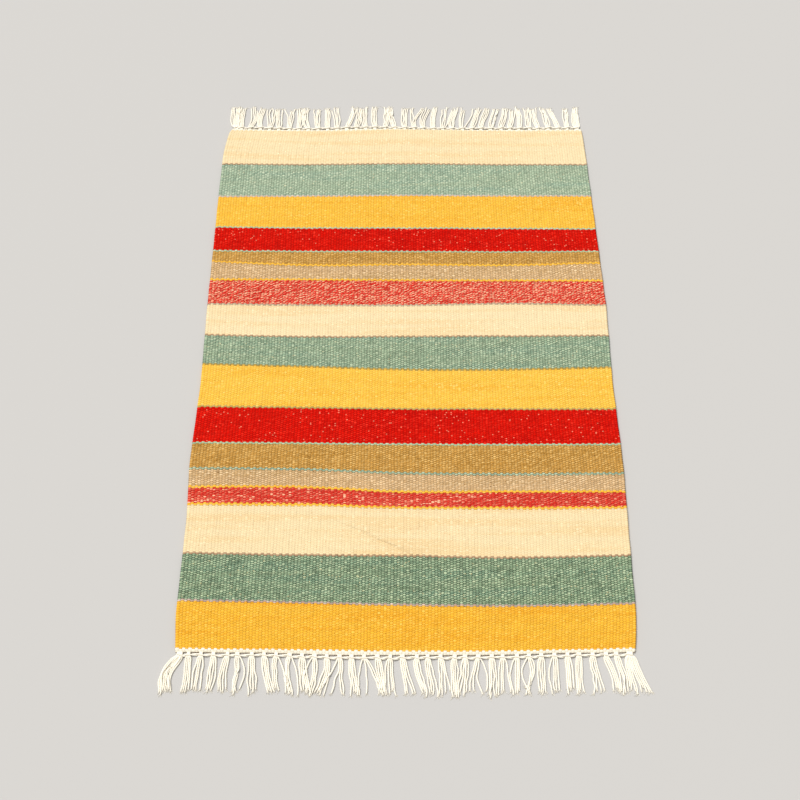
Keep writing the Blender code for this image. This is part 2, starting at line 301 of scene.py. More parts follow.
@dataclass
class Graph:
    """A node tree with short calls for the nodes that the finishes use."""

    tree: bpy.types.NodeTree

    def node(self, kind: str, **values: object) -> bpy.types.Node:
        """Places a node.

        Args:
            kind: the node's type.
            values: its settings.

        Returns:
            The new node.
        """
        made = self.tree.nodes.new(kind)
        for name, value in values.items():
            setattr(made, name, value)
        return made

    def feed(self, socket: Socket, value: Socket | float | Sequence[float]) -> None:
        """Links a socket to another, or sets its value.

        Args:
            socket: the socket that takes the value.
            value: the other socket, or the value.
        """
        if isinstance(value, bpy.types.NodeSocket):
            self.tree.links.new(value, socket)
        else:
            socket.default_value = value

    def math(self, operation: str, *values: Socket | float, clamp: bool = False) -> Socket:
        """One operation on numbers.

        Args:
            operation: the operation's name.
            values: the numbers, in the operation's order.
            clamp: whether the result is kept between 0 and 1.

        Returns:
            The result.
        """
        made = self.node("ShaderNodeMath", operation=operation, use_clamp=clamp)
        for socket, value in zip(made.inputs, values):
            self.feed(socket, value)
        return made.outputs[0]

    def times(self, first: Socket, second: Socket | float) -> Socket:
        """One number times another."""
        return self.math("MULTIPLY", first, second)

    def sum_of(self, *parts: tuple[Socket, float], start: Socket | float = 0.0) -> Socket:
        """A weighted sum.

        Args:
            parts: the numbers, each with its weight.
            start: what they are added to.

        Returns:
            The sum.
        """
        for value, weight in parts:
            start = self.math("MULTIPLY_ADD", value, weight, start)
        return start

    def half_number(self, place: Socket) -> Socket:
        """Which half step a place is in, counted from 0."""
        return self.math("FLOOR", self.times(place, 2.0))

    def off_middle(self, share: Socket) -> Socket:
        """How far a share is from a half: 0 there and 1 at both ends."""
        return self.times(self.math("ABSOLUTE", self.math("SUBTRACT", share, 0.5)), 2.0)

    def first_two(self, vector: Socket) -> tuple[Socket, Socket]:
        """Takes a vector apart.

        Args:
            vector: the vector.

        Returns:
            Its first two numbers.
        """
        parts = self.node("ShaderNodeSeparateXYZ")
        self.feed(parts.inputs[0], vector)
        return parts.outputs[0], parts.outputs[1]

    def grey(self, value: Socket) -> Socket:
        """A vector with the same number three times."""
        return self.combine(value, value, value)

    def combine(self, x: Socket | float, y: Socket | float, z: Socket | float = 0.0) -> Socket:
        """Puts a vector together.

        Args:
            x: its first number.
            y: its second number.
            z: its third number.

        Returns:
            The vector.
        """
        made = self.node("ShaderNodeCombineXYZ")
        for socket, value in zip(made.inputs, (x, y, z)):
            self.feed(socket, value)
        return made.outputs[0]

    def noise(self, place: Socket, scale: float, detail: float = 2.0, rough: float = 0.5) -> Socket:
        """Soft noise.

        Args:
            place: where to read it.
            scale: how many waves fit in one unit.
            detail: how many finer waves are added.
            rough: how strong the finer waves are.

        Returns:
            A number from 0 to 1.
        """
        made = self.node("ShaderNodeTexNoise", noise_dimensions="3D")
        self.feed(made.inputs["Vector"], place)
        self.feed(made.inputs["Scale"], scale)
        self.feed(made.inputs["Detail"], detail)
        self.feed(made.inputs["Roughness"], rough)
        return made.outputs["Fac"]

    def chance(self, place: Socket) -> Socket:
        """A number drawn for each place.

        Args:
            place: the place, whose every change draws anew.

        Returns:
            A number from 0 to 1.
        """
        made = self.node("ShaderNodeTexWhiteNoise", noise_dimensions="3D")
        self.feed(made.inputs["Vector"], place)
        return made.outputs["Value"]

    def ramp(self, value: Socket, low: float | Socket, high: float | Socket) -> Socket:
        """A smooth rise.

        Args:
            value: the number that rises.
            low: where the rise starts.
            high: where it ends, which may be lower.

        Returns:
            0 at low and before it, and 1 at high and past it.
        """
        made = self.node("ShaderNodeMapRange", interpolation_type="SMOOTHSTEP")
        for name, given in (("Value", value), ("From Min", low), ("From Max", high)):
            self.feed(made.inputs[name], given)
        return made.outputs["Result"]

    def mix(self, share: Socket | float, first: Socket, second: Socket, way: str = "MIX") -> Socket:
        """Two colours mixed.

        Args:
            share: how much of the second.
            first: the first colour.
            second: the second colour.
            way: the blend type.

        Returns:
            The mixed colour.
        """
        made = self.node("ShaderNodeMix", data_type="RGBA", blend_type=way)
        self.feed(made.inputs["Factor"], share)
        for name, colour in (("A", first), ("B", second)):
            self.feed(next(s for s in made.inputs if s.name == name and s.type == "RGBA"), colour)
        return next(s for s in made.outputs if s.type == "RGBA")

    def map_place(self, name: str) -> Socket:
        """The place on one of the mesh's maps."""
        return self.node("ShaderNodeUVMap", uv_map=name).outputs[0]

    def group(self, tree: bpy.types.NodeTree, **values: Socket | float) -> bpy.types.Node:
        """Places a node group.

        Args:
            tree: the group.
            values: its inputs, by name with underscores for spaces.

        Returns:
            The placed group.
        """
        made = self.node("ShaderNodeGroup", node_tree=tree)
        for name, value in values.items():
            self.feed(made.inputs[name.replace("_", " ")], value)
        return made


def new_group(
    name: str, inputs: dict[str, Sequence[str]], outputs: dict[str, Sequence[str]]
) -> tuple[Graph, dict[str, Socket], dict[str, Socket]]:
    """Starts a shader node group.

    Args:
        name: the group's name.
        inputs: its inputs' names, by kind of socket.
        outputs: its outputs' names, by kind of socket.

    Returns:
        Its graph, its inputs by name, and the sockets that take its outputs, by name.
    """
    tree = bpy.data.node_groups.new(name, "ShaderNodeTree")
    for way, sockets in (("INPUT", inputs), ("OUTPUT", outputs)):
        for kind, labels in sockets.items():
            for label in labels:
                tree.interface.new_socket(label, in_out=way, socket_type=f"NodeSocket{kind}")
    graph = Graph(tree)
    given, taken = graph.node("NodeGroupInput").outputs, graph.node("NodeGroupOutput").inputs
    return graph, dict(given.items()), dict(taken.items())


class Effects:
    """The shader node groups that the finishes share."""

    def __init__(self) -> None:
        """Builds every group once."""
        self.weft = self.weft_floats()
        self.shade = self.yarn_shade()
        self.cotton = self.twisted_yarn()

    @staticmethod
    def weft_floats() -> bpy.types.NodeTree:
        """Each float of the weft: its tone, its lighter flecks, stray specks, painted shade in its hollows,
        and its fibres.

        Marl is how strongly the yarn's two plies differ, and Fleck Share how many half floats are pale.

        Returns:
            The group.
        """
        graph, given, out = new_group(
            "weft_floats",
            {"Vector": ["Weave"], "Float": ["Fleck Share", "Speck Share", "Marl"]},
            {"Float": ["Tone", "Fleck", "Speck", "Band", "Cavity", "Height"]},
        )
        times = graph.times
        rib, row = graph.first_two(given["Weave"])
        rib_number = graph.math("FLOOR", rib)
        odd = graph.math("MODULO", rib_number, 2.0)
        place = times(graph.math("SUBTRACT", graph.math("ADD", row, 1.0), odd), 0.5)
        across, along = graph.math("FRACT", rib), graph.math("FRACT", place)
        weft_pass = graph.math("MULTIPLY_ADD", graph.math("FLOOR", place), 2.0, odd)
        half, half_rib = graph.half_number(place), graph.half_number(rib)
        side, end = graph.off_middle(across), graph.off_middle(along)
        within = graph.off_middle(graph.math("FRACT", times(place, 2.0)))
        beside = graph.off_middle(graph.math("FRACT", times(rib, 2.0)))

        # Tone: each float's, each ply's and each spot's own, and what runs along the passes and the ribs
        own = graph.chance(graph.combine(rib_number, weft_pass, 0.5))
        ply = graph.chance(graph.combine(rib_number, half, 7.5))
        grain = graph.chance(graph.combine(half_rib, half, 19.5))
        rare = graph.chance(graph.combine(half_rib, half, 31.5))
        streak = graph.noise(graph.combine(times(rib, 0.16), times(weft_pass, 3.7)), 1.0)
        warp_tone = graph.noise(graph.combine(times(rib_number, 7.3), times(row, 0.05), 9.0), 1.0)
        band = graph.noise(graph.combine(times(rib, 0.02), times(row, 0.13), 3.0), 1.0, 3.0)
        uneven = graph.sum_of(
            (own, 0.7), (ply, 0.6), (grain, 1.0), (streak, 0.8), (band, 0.7), (warp_tone, 1.6), start=-2.7
        )
        graph.feed(out["Tone"], uneven)
        graph.feed(out["Band"], graph.ramp(band, 0.42, 0.66))

        # Painted shade: the hollows beside a float, before and after it, drawn darker, and darker still at
        # its corners
        rim_shade = (graph.math("POWER", side, 2.5), 0.42), (graph.math("POWER", end, 2.5), 0.58)
        corner_shade = graph.math("POWER", times(side, end), 1.5)
        hollow_shade_mask = graph.math("MULTIPLY_ADD", corner_shade, 0.8, graph.sum_of(*rim_shade), clamp=True)
        graph.feed(out["Cavity"], hollow_shade_mask)

        # Flecks: the paler ply as it winds round the yarn, and whole pale halves of a float
        turn = graph.math("MULTIPLY_ADD", across, 0.45, graph.math("ADD", own, along))
        plies = graph.math("SINE", times(turn, TAU))
        pale = times(graph.ramp(plies, -0.1, 0.8), given["Marl"])
        pale = times(pale, graph.math("SUBTRACT", 1.0, graph.math("POWER", end, 1.5)))
        marled = times(pale, graph.math("MULTIPLY_ADD", ply, 1.3, 0.25))
        likely = graph.sum_of((ply, 0.5), (own, 0.25), (streak, 0.9), (band, 0.6), start=-0.3)
        edge = graph.math("MULTIPLY_ADD", given["Fleck Share"], -0.70, 1.18)
        flecked = graph.ramp(likely, edge, graph.math("ADD", edge, 0.2))
        flecked = times(flecked, graph.math("SUBTRACT", 1.0, graph.math("POWER", side, 4.0)))
        flecked = times(flecked, graph.ramp(within, 0.9, 0.3))
        graph.feed(out["Fleck"], graph.math("MAXIMUM", flecked, marled))

        # Specks: rare round spots of a stray fibre
        speck = graph.math("LESS_THAN", rare, given["Speck Share"])
        away = graph.math("MULTIPLY_ADD", beside, beside, times(within, within))
        graph.feed(out["Speck"], times(speck, graph.ramp(away, 1.2, 0.4)))

        fibres = graph.noise(graph.combine(times(rib, 5.0), times(row, 16.0)), 1.0, 3.0, 0.7)
        graph.feed(out["Height"], graph.sum_of((fibres, 0.9), (plies, 0.22)))
        return graph.tree

    @staticmethod
    def yarn_shade() -> bpy.types.NodeTree:
        """A yarn's colour from its dyes: lighter and darker floats, flecks, specks, and painted shade in its
        hollows.

        Returns:
            The group.
        """
        graph, given, out = new_group(
            "yarn_shade",
            {
                "Color": ["Dye", "Band Dye", "Fleck Dye", "Speck Dye"],
                "Float": ["Tone", "Spread", "Band", "Fleck", "Speck", "Cavity", "Depth", "Roughness"],
            },
            {"Color": ["Colour"], "Float": ["Roughness"]},
        )
        colour = given["Dye"]
        for mask in ("Band", "Fleck", "Speck"):
            colour = graph.mix(given[mask], colour, given[f"{mask} Dye"])
        lift = graph.math("MULTIPLY_ADD", given["Tone"], given["Spread"], 1.0)
        # Painted shade: the colour is darkened where the hollows' mask is high
        painted_shade = graph.math("SUBTRACT", 1.0, graph.times(given["Cavity"], given["Depth"]))
        for shade in (lift, painted_shade):
            colour = graph.mix(1.0, colour, graph.grey(shade), "MULTIPLY")
        graph.feed(out["Colour"], colour)
        rough = graph.math("MULTIPLY_ADD", given["Tone"], 0.05, given["Roughness"], clamp=True)
        graph.feed(out["Roughness"], rough)
        return graph.tree

    @staticmethod
    def twisted_yarn() -> bpy.types.NodeTree:
        """A plied cotton yarn: its tone along and round it, painted shade in the groove between its plies,
        and its fibres.

        Returns:
            The group.
        """
        graph, given, out = new_group(
            "twisted_yarn",
            {"Vector": ["Yarn"], "Float": ["Twist"]},
            {"Float": ["Tone", "Cavity", "Height"]},
        )
        times = graph.times
        around, along = graph.first_two(given["Yarn"])
        lay = graph.math("SUBTRACT", around, times(along, given["Twist"]))
        plies = graph.math("COSINE", times(lay, PLIES * TAU))
        ring = times(around, TAU)
        x, y = (times(graph.math(wave, ring), 2.2) for wave in ("COSINE", "SINE"))
        fibres = graph.noise(graph.combine(x, y, times(along, 0.5)), 2.0, 4.0, 0.7)
        slow = graph.noise(graph.combine(0.0, 0.0, times(along, 0.06)), 1.0)
        graph.feed(out["Tone"], graph.sum_of((fibres, 1.6), (slow, 1.6), start=-1.6))
        # Painted shade in the groove between the plies
        groove = graph.math("POWER", graph.math("MULTIPLY_ADD", plies, -0.5, 0.5), 3.0)
        graph.feed(out["Cavity"], groove)
        graph.feed(out["Height"], graph.sum_of((plies, 0.15), (fibres, 0.7)))
        return graph.tree


# ------------------------------------------------------------------ finishes


class Dye(Enum):
    """The yarns of the weft."""

    COTTON = "cotton"
    CREAM = "cream"
    TEAL = "teal"
    YELLOW = "yellow"
    RED = "red"
    OCHRE = "ochre"
    BEIGE = "beige"
    PINK = "pink"
    ROSE = "rose"
    TAN = "tan"
    MAUVE = "mauve"
    TAUPE = "taupe"
    OLIVE = "olive"
    MINT = "mint"

    @property
    def slot(self) -> str:
        """The record's material slot of a stripe in this dye."""
        return "wool_pink" if self is Dye.ROSE else f"wool_{self.value}"


def dyed(colour: RGB, lot_and_light: float = 1.0) -> tuple[float, float, float, float]:
    """A dye's colour drawn deeper, below 1, or paler, above 1, partly as dye lots differ and partly as
    painted light.
    """
    red, green, blue = (value ** (1 / lot_and_light) for value in colour)
    return red, green, blue, 1.0


def new_material(name: str) -> tuple[bpy.types.Material, Graph]:
    """Starts a material.

    Args:
        name: the material's name.

    Returns:
        The material and its graph of nodes.
    """
    made = bpy.data.materials.new(name)
    made.use_nodes = True
    return made, Graph(made.node_tree)


@dataclass(frozen=True, kw_only=True)
class YarnFinish:
    """A matt yarn: how much its tone varies, how strong the painted shade in its hollows is, and its
    roughness and fibres.
    """

    spread: float
    # depth: how strong the painted shade in the yarn's hollows is
    depth: float
    roughness: float = 0.9
    bump: float = 0.30 * MM
    bump_strength: float = 0.6
    specular: float = 0.05

    def surface(
        self, graph: Graph, effects: Effects, yarn: Outputs, lot_and_light: float, **looks: Socket | Sequence[float]
    ) -> None:
        """Feeds a material's shader with the shade and the fibres of its yarn.

        Args:
            graph: the material's graph.
            effects: the shared node groups.
            yarn: the outputs of the group that draws the yarn.
            lot_and_light: how pale the dye is drawn, 1 being its usual depth, partly as dye lots differ and
                partly as painted light.
            looks: the dyes, and where each of them shows.
        """
        shade = graph.group(
            effects.shade,
            Tone=yarn["Tone"],
            Cavity=yarn["Cavity"],
            Spread=self.spread / lot_and_light**2,
            Depth=self.depth / lot_and_light,
            Roughness=self.roughness,
            **looks,
        ).outputs
        bump = graph.node("ShaderNodeBump")
        bump.inputs["Strength"].default_value = self.bump_strength
        bump.inputs["Distance"].default_value = self.bump
        graph.feed(bump.inputs["Height"], yarn["Height"])
        shader = graph.tree.nodes["Principled BSDF"]
        shader.inputs["Specular IOR Level"].default_value = self.specular
        graph.feed(shader.inputs["Base Color"], shade["Colour"])
        graph.feed(shader.inputs["Roughness"], shade["Roughness"])
        graph.feed(shader.inputs["Normal"], bump.outputs["Normal"])


@dataclass(frozen=True, kw_only=True)
class WoolFinish(YarnFinish):
    """One dyed weft yarn: its colours, its flecks, how its plies differ and how thick it packs."""

    colour: RGB
    band: RGB
    fleck: RGB
    speck: RGB
    fleck_share: float
    speck_share: float
    marl: float
    pass_pitch: float = 1.65 * MM

    def material(self, name: str, effects: Effects, lot_and_light: float) -> bpy.types.Material:
        """Makes the material.

        Args:
            name: the material's name.
            effects: the shared node groups.
            lot_and_light: how pale the dye is drawn, 1 being its usual depth, partly as dye lots differ and
                partly as painted light.

        Returns:
            A matt wool.
        """
        made, graph = new_material(name)
        yarn = graph.group(
            effects.weft,
            Weave=graph.map_place(WEAVE_MAP),
            Fleck_Share=self.fleck_share,
            Speck_Share=self.speck_share,
            Marl=self.marl,
        ).outputs
        self.surface(
            graph,
            effects,
            yarn,
            lot_and_light,
            Dye=dyed(self.colour, lot_and_light),
            Band_Dye=dyed(self.band, lot_and_light),
            Fleck_Dye=dyed(self.fleck, lot_and_light),
            Speck_Dye=dyed(self.speck, lot_and_light),
            Band=yarn["Band"],
            Fleck=yarn["Fleck"],
            Speck=yarn["Speck"],
        )
        return made


@dataclass(frozen=True, kw_only=True)
class CottonFinish(YarnFinish):
    """An undyed plied cotton yarn, and the colour and share of the painted shadow between its plies."""

    colour: RGB = (0.95, 0.90, 0.78)
    shadow: RGB = (0.80, 0.70, 0.50)
    shadow_share: float = 0.25
    spread: float = 0.08
    depth: float = 0.1
    roughness: float = 0.92
    bump: float = 0.25 * MM
    specular: float = 0.15

    def material(self, name: str, effects: Effects) -> bpy.types.Material:
        """Makes the material.

        Args:
            name: the material's name.
            effects: the shared node groups.

        Returns:
            A matt cotton, with painted shadow between its plies.
        """
        made, graph = new_material(name)
        yarn = graph.group(effects.cotton, Yarn=graph.map_place(YARN_MAP), Twist=YARN_TWIST).outputs
        colour, shadow = dyed(self.colour), dyed(self.shadow)
        # Painted shadow between the plies, mixed in through the fleck mask
        between = graph.times(yarn["Cavity"], self.shadow_share)
        looks = {"Dye": colour, "Band_Dye": colour, "Fleck_Dye": shadow, "Speck_Dye": shadow}
        self.surface(graph, effects, yarn, 1.0, **looks, Band=0.0, Fleck=between, Speck=0.0)
        return made


# In each wool, depth is how strong the painted shade in its hollows is
WOOLS: dict[Dye, WoolFinish] = {
    Dye.COTTON: WoolFinish(
        colour=(0.9, 0.84, 0.7), band=(0.86, 0.79, 0.63),
        fleck=(0.82, 0.73, 0.54), speck=(0.7, 0.58, 0.4),
        fleck_share=0.2, speck_share=0.01, marl=0.1,
        spread=0.05, depth=0.25,
    ),
    Dye.CREAM: WoolFinish(
        colour=(0.82, 0.66, 0.4), band=(0.8, 0.6, 0.33),
        fleck=(0.88, 0.74, 0.48), speck=(0.74, 0.52, 0.28),
        fleck_share=0.25, speck_share=0.01, marl=0.2,
        spread=0.05, depth=0.2,
    ),
    Dye.TEAL: WoolFinish(
        colour=(0.305, 0.405, 0.27), band=(0.255, 0.368, 0.26),
        fleck=(0.55, 0.62, 0.43), speck=(0.66, 0.62, 0.38),
        fleck_share=0.22, speck_share=0.012, marl=0.9,
        spread=0.24, depth=0.68,
    ),
    Dye.YELLOW: WoolFinish(
        colour=(0.87, 0.48, 0.05), band=(0.84, 0.42, 0.035),
        fleck=(0.92, 0.6, 0.14), speck=(0.68, 0.34, 0.03),
        fleck_share=0.22, speck_share=0.01, marl=0.5,
        spread=0.1, depth=0.36,
    ),
    Dye.RED: WoolFinish(
        colour=(0.63, 0.005, 0.001), band=(0.55, 0.003, 0.001),
        fleck=(0.8, 0.04, 0.02), speck=(0.88, 0.26, 0.16),
        fleck_share=0.21, speck_share=0.015, marl=0.42,
        spread=0.21, depth=0.5,
    ),
    Dye.OCHRE: WoolFinish(
        colour=(0.54, 0.28, 0.06), band=(0.48, 0.24, 0.045),
        fleck=(0.74, 0.48, 0.17), speck=(0.32, 0.15, 0.03),
        fleck_share=0.22, speck_share=0.015, marl=0.85,
        spread=0.21, depth=0.56,
    ),
    Dye.BEIGE: WoolFinish(
        colour=(0.61, 0.39, 0.19), band=(0.54, 0.34, 0.15),
        fleck=(0.82, 0.61, 0.37), speck=(0.38, 0.21, 0.08),
        fleck_share=0.22, speck_share=0.015, marl=0.8,
        spread=0.19, depth=0.5,
    ),
    Dye.PINK: WoolFinish(
        colour=(0.63, 0.03, 0.018), band=(0.66, 0.046, 0.028),
        fleck=(0.95, 0.62, 0.38), speck=(0.48, 0.012, 0.008),
        fleck_share=0.28, speck_share=0.03, marl=0.3,
        spread=0.18, depth=0.45,
    ),
    Dye.ROSE: WoolFinish(
        colour=(0.7, 0.024, 0.014), band=(0.71, 0.033, 0.021),
        fleck=(1.0, 0.63, 0.39), speck=(0.5, 0.012, 0.008),
        fleck_share=0.16, speck_share=0.04, marl=1.0,
        spread=0.2, depth=0.6,
    ),
    Dye.TAN: WoolFinish(
        colour=(0.44, 0.28, 0.17), band=(0.4, 0.26, 0.15),
        fleck=(0.66, 0.48, 0.3), speck=(0.3, 0.18, 0.1),
        fleck_share=0.3, speck_share=0.01, marl=0.5,
        spread=0.12, depth=0.35, pass_pitch=1.2 * MM,
    ),
    Dye.MAUVE: WoolFinish(
        colour=(0.54, 0.41, 0.34), band=(0.48, 0.37, 0.31),
        fleck=(0.78, 0.66, 0.56), speck=(0.34, 0.22, 0.15),
        fleck_share=0.3, speck_share=0.02, marl=0.6,
        spread=0.12, depth=0.32, pass_pitch=1.2 * MM,
    ),
    Dye.TAUPE: WoolFinish(
        colour=(0.5, 0.4, 0.27), band=(0.46, 0.36, 0.24),
        fleck=(0.62, 0.5, 0.36), speck=(0.34, 0.24, 0.15),
        fleck_share=0.3, speck_share=0.01, marl=0.5,
        spread=0.1, depth=0.35, pass_pitch=1.2 * MM,
    ),
    Dye.OLIVE: WoolFinish(
        colour=(0.46, 0.33, 0.09), band=(0.4, 0.29, 0.08),
        fleck=(0.6, 0.44, 0.16), speck=(0.28, 0.18, 0.05),
        fleck_share=0.3, speck_share=0.01, marl=0.5,
        spread=0.1, depth=0.35, pass_pitch=1.2 * MM,
    ),
    Dye.MINT: WoolFinish(
        colour=(0.37, 0.5, 0.31), band=(0.33, 0.47, 0.3),
        fleck=(0.62, 0.68, 0.48), speck=(0.3, 0.36, 0.24),
        fleck_share=0.35, speck_share=0.01, marl=0.6,
        spread=0.1, depth=0.32, pass_pitch=1.2 * MM,
    ),
}


@dataclass
class Palette:
    """The materials, each made once."""

    effects: Effects
    wools: dict[tuple[Dye, float], bpy.types.Material] = field(default_factory=dict)

    def __post_init__(self) -> None:
        """Makes the cotton yarn."""
        self.yarn = CottonFinish().material("cotton_yarn", self.effects)

    def wool(self, dye: Dye, lot_and_light: float) -> bpy.types.Material:
        """Makes a weft material, or finds it if it is made already.

        Args:
            dye: the yarn's dye.
            lot_and_light: how pale it is drawn, partly as dye lots differ and partly as painted light.

        Returns:
            The material.
        """
        if (dye, lot_and_light) not in self.wools:
            name = f"weft_{dye.value}_{round(lot_and_light * 100)}"
            self.wools[dye, lot_and_light] = WOOLS[dye].material(name, self.effects, lot_and_light)
        return self.wools[dye, lot_and_light]

    @staticmethod
    def dress(piece: bpy.types.Object, slot: str, *nodes: str) -> bpy.types.Object:
        """Attaches a piece to the body and hides the solids that it stands for.

        Args:
            piece: the piece.
            slot: its slot in the record, not used.
            nodes: the solids' names.

        Returns:
            The same piece.
        """
        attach(piece, BODY)
        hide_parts(*nodes)
        return piece


# ------------------------------------------------------------------ the woven field


@dataclass(frozen=True)
class Stripe:
    """One stripe: its dye, how pale it is drawn, the thin line woven last in another dye, if any, and
    where it ends at five places across, in millimetres along the rug. Its paleness is partly as dye lots
    differ and partly painted light, mostly dimmer towards the near end."""

    dye: Dye
    lot_and_light: float
    line: Dye | None
    left: float
    quarter: float
    middle: float
    three_quarters: float
    right: float

    def ends(self, share: np.ndarray) -> np.ndarray:
        """How far along the rug the stripe ends, at shares of its width."""
        knots = np.array((self.left, self.quarter, self.middle, self.three_quarters, self.right))
        return spline(knots, np.clip(share, 0, 1) * (len(knots) - 1)) * MM


# Each stripe's second number is its paleness: partly as dye lots differ and partly painted light, mostly
# dimmer towards the near end
STRIPES = (
    Stripe(Dye.COTTON, 1.0, None, 3.5, 5.0, 1.5, 5.0, 4.5),
    Stripe(Dye.CREAM, 1.0, Dye.TAN, 79.4, 81.0, 78.9, 81.0, 80.8),
    Stripe(Dye.TEAL, 1.1, Dye.MAUVE, 148.5, 147.7, 146.3, 147.4, 147.4),
    Stripe(Dye.YELLOW, 1.0, Dye.MINT, 211.2, 213.5, 213.6, 214.5, 215.4),
    Stripe(Dye.RED, 1.0, Dye.MINT, 258.8, 260.4, 260.5, 261.3, 260.0),
    Stripe(Dye.OCHRE, 1.0, Dye.YELLOW, 279.5, 287.6, 286.1, 287.7, 282.9),
    Stripe(Dye.BEIGE, 1.0, Dye.YELLOW, 315.5, 314.9, 316.4, 316.8, 317.4),
    Stripe(Dye.ROSE, 1.0, Dye.TAUPE, 360.4, 362.8, 363.1, 360.1, 362.7),
    Stripe(Dye.CREAM, 1.0, Dye.TAN, 416.9, 420.7, 420.1, 419.5, 418.6),
    Stripe(Dye.TEAL, 0.95, Dye.OLIVE, 468.5, 473.0, 478.5, 478.5, 474.3),
    Stripe(Dye.YELLOW, 1.08, Dye.OLIVE, 540.8, 543.2, 545.3, 545.6, 545.7),
    Stripe(Dye.RED, 1.0, Dye.MINT, 600.8, 601.9, 603.6, 604.2, 603.4),
    Stripe(Dye.OCHRE, 1.0, Dye.TEAL, 641.5, 643.2, 649.8, 651.5, 650.1),
    Stripe(Dye.BEIGE, 1.0, Dye.YELLOW, 670.5, 671.0, 678.6, 678.1, 678.0),
    Stripe(Dye.PINK, 1.0, Dye.YELLOW, 696.7, 698.7, 702.8, 703.4, 702.6),
    Stripe(Dye.CREAM, 0.96, Dye.TAN, 769.2, 772.2, 773.8, 776.2, 772.6),
    Stripe(Dye.TEAL, 0.81, Dye.MAUVE, 835.8, 839.0, 842.7, 844.0, 840.8),
    Stripe(Dye.YELLOW, 0.9, None, 900.5, 902.0, 904.0, 903.5, 900.0),
    Stripe(Dye.COTTON, 1.0, None, 905.5, 909.5, 909.5, 909.0, 905.5),
)


@dataclass
class FieldOutline:
    """The woven field's four edges, read from its solid.

    A point is on an end if it lies within end_zone of it, and on the floor if lower than floor_zone.
    """

    node: str = "field"
    end_zone: float = 7 * MM
    floor_zone: float = 0.2 * MM
    smoothing: float = 10 * MM
    step: float = 1 * MM

    def __post_init__(self) -> None:
        """Reads the points where the solid's sides meet the floor, and sorts them into edges."""
        mesh = bpy.data.objects[self.node].data
        points = np.empty(len(mesh.vertices) * 3, np.float32)
        mesh.vertices.foreach_get("co", points)
        rim = points.reshape(-1, 3).astype(float)
        rim = np.unique(np.round(rim[rim[:, 2] < self.floor_zone], 6), axis=0)
        low, high = rim.min(0), rim.max(0)
        self.far = rim[rim[:, 1] > high[1] - self.end_zone]
        self.near = rim[rim[:, 1] < low[1] + self.end_zone]
        middle = (low + high) / 2
        body = rim[np.abs(rim[:, 1] - middle[1]) < (high[1] - low[1]) / 2 - self.end_zone]
        self.left = self.side(body[body[:, 0] < middle[0]], 0)
        self.right = self.side(body[body[:, 0] > middle[0]], -1)
        self.origin = float(self.far[[0, -1], 1].mean())
        self.middle = middle

    def side(self, points: np.ndarray, corner: int) -> tuple[np.ndarray, np.ndarray]:
        """One long edge, closely spaced and smoothed.

        Args:
            points: the rim's points on this side.
            corner: which point of the two ends lies on it, 0 the first or -1 the last.

        Returns:
            The edge's places along Y, and its X at each.
        """
        points = np.vstack([points, self.far[corner], self.near[corner]])
        points = points[np.argsort(points[:, 1])]
        reach = int(3 * self.smoothing / self.step)
        places = np.arange(points[0, 1], points[-1, 1], self.step)
        values = np.interp(places, points[:, 1], points[:, 0])
        padded = np.pad(values, reach, mode="reflect", reflect_type="odd")
        weights = np.exp(-0.5 * (np.arange(-reach, reach + 1) * self.step / self.smoothing) ** 2)
        return places, np.convolve(padded, weights / weights.sum(), mode="valid")

    def across_to_x(self, share: np.ndarray, y: np.ndarray) -> np.ndarray:
        """Turns shares of the width into places on the X axis.

        Args:
            share: the shares.
            y: where along the rug each of them is.

        Returns:
            The X of each.
        """
        left = np.interp(y, *self.left)
        right = np.interp(y, *self.right)
        return left + (right - left) * share

    def end_line(self, share: np.ndarray, near: bool) -> np.ndarray:
        """One end of the rug.

        Args:
            share: shares of the width.
            near: whether the near end is meant.

        Returns:
            How far along the rug the end lies, at each share.
        """
        line = self.near if near else self.far
        x = line[0, 0] + (line[-1, 0] - line[0, 0]) * share
        return self.origin - np.interp(x, line[:, 0], line[:, 1])


@dataclass(frozen=True)
class Fold:
    """A soft fold that runs slantwise across part of the field, steeper and creased on its near side.

    The taper, and where its near width and its crease change, are shares of its length.
    """

    start: tuple[float, float] = (135 * MM, 683 * MM)
    end: tuple[float, float] = (348 * MM, 787 * MM)
    width: float = 14 * MM
    near_width: tuple[float, float] = (6.0 * MM, 4.6 * MM)
    height: float = 3.6 * MM
    crease_depth: float = 1.9 * MM
    crease_width: float = 1.0 * MM
    taper: float = 0.3
    near_change: tuple[float, float] = (0.0, 0.6)
    crease_start: float = 0.25
    crease_rise: float = 0.35

    def lift(self, across: np.ndarray, along: np.ndarray) -> np.ndarray:
        """The fold's height, highest along its middle and sunk along its crease.

        Args:
            across: places across the rug.
            along: places along the rug.

        Returns:
            How far the cloth is lifted at each place.
        """
        start, end = np.array(self.start), np.array(self.end)
        run = end - start
        length = float(np.hypot(*run))
        way = ((across - start[0]) * run[0] + (along - start[1]) * run[1]) / length
        off = ((along - start[1]) * run[0] - (across - start[0]) * run[1]) / length
        taper = self.taper * length
        ends = smooth_step(way / taper) * smooth_step((length - way) / taper)
        near = np.interp(way / length, self.near_change, self.near_width)
        swell = self.height * np.exp(-0.5 * (off / np.where(off > 0, near, self.width)) ** 2)
        crease = self.crease_depth * smooth_step((way / length - self.crease_start) / self.crease_rise)
        return ends * (swell - crease * np.exp(-0.5 * ((off - near) / self.crease_width) ** 2))


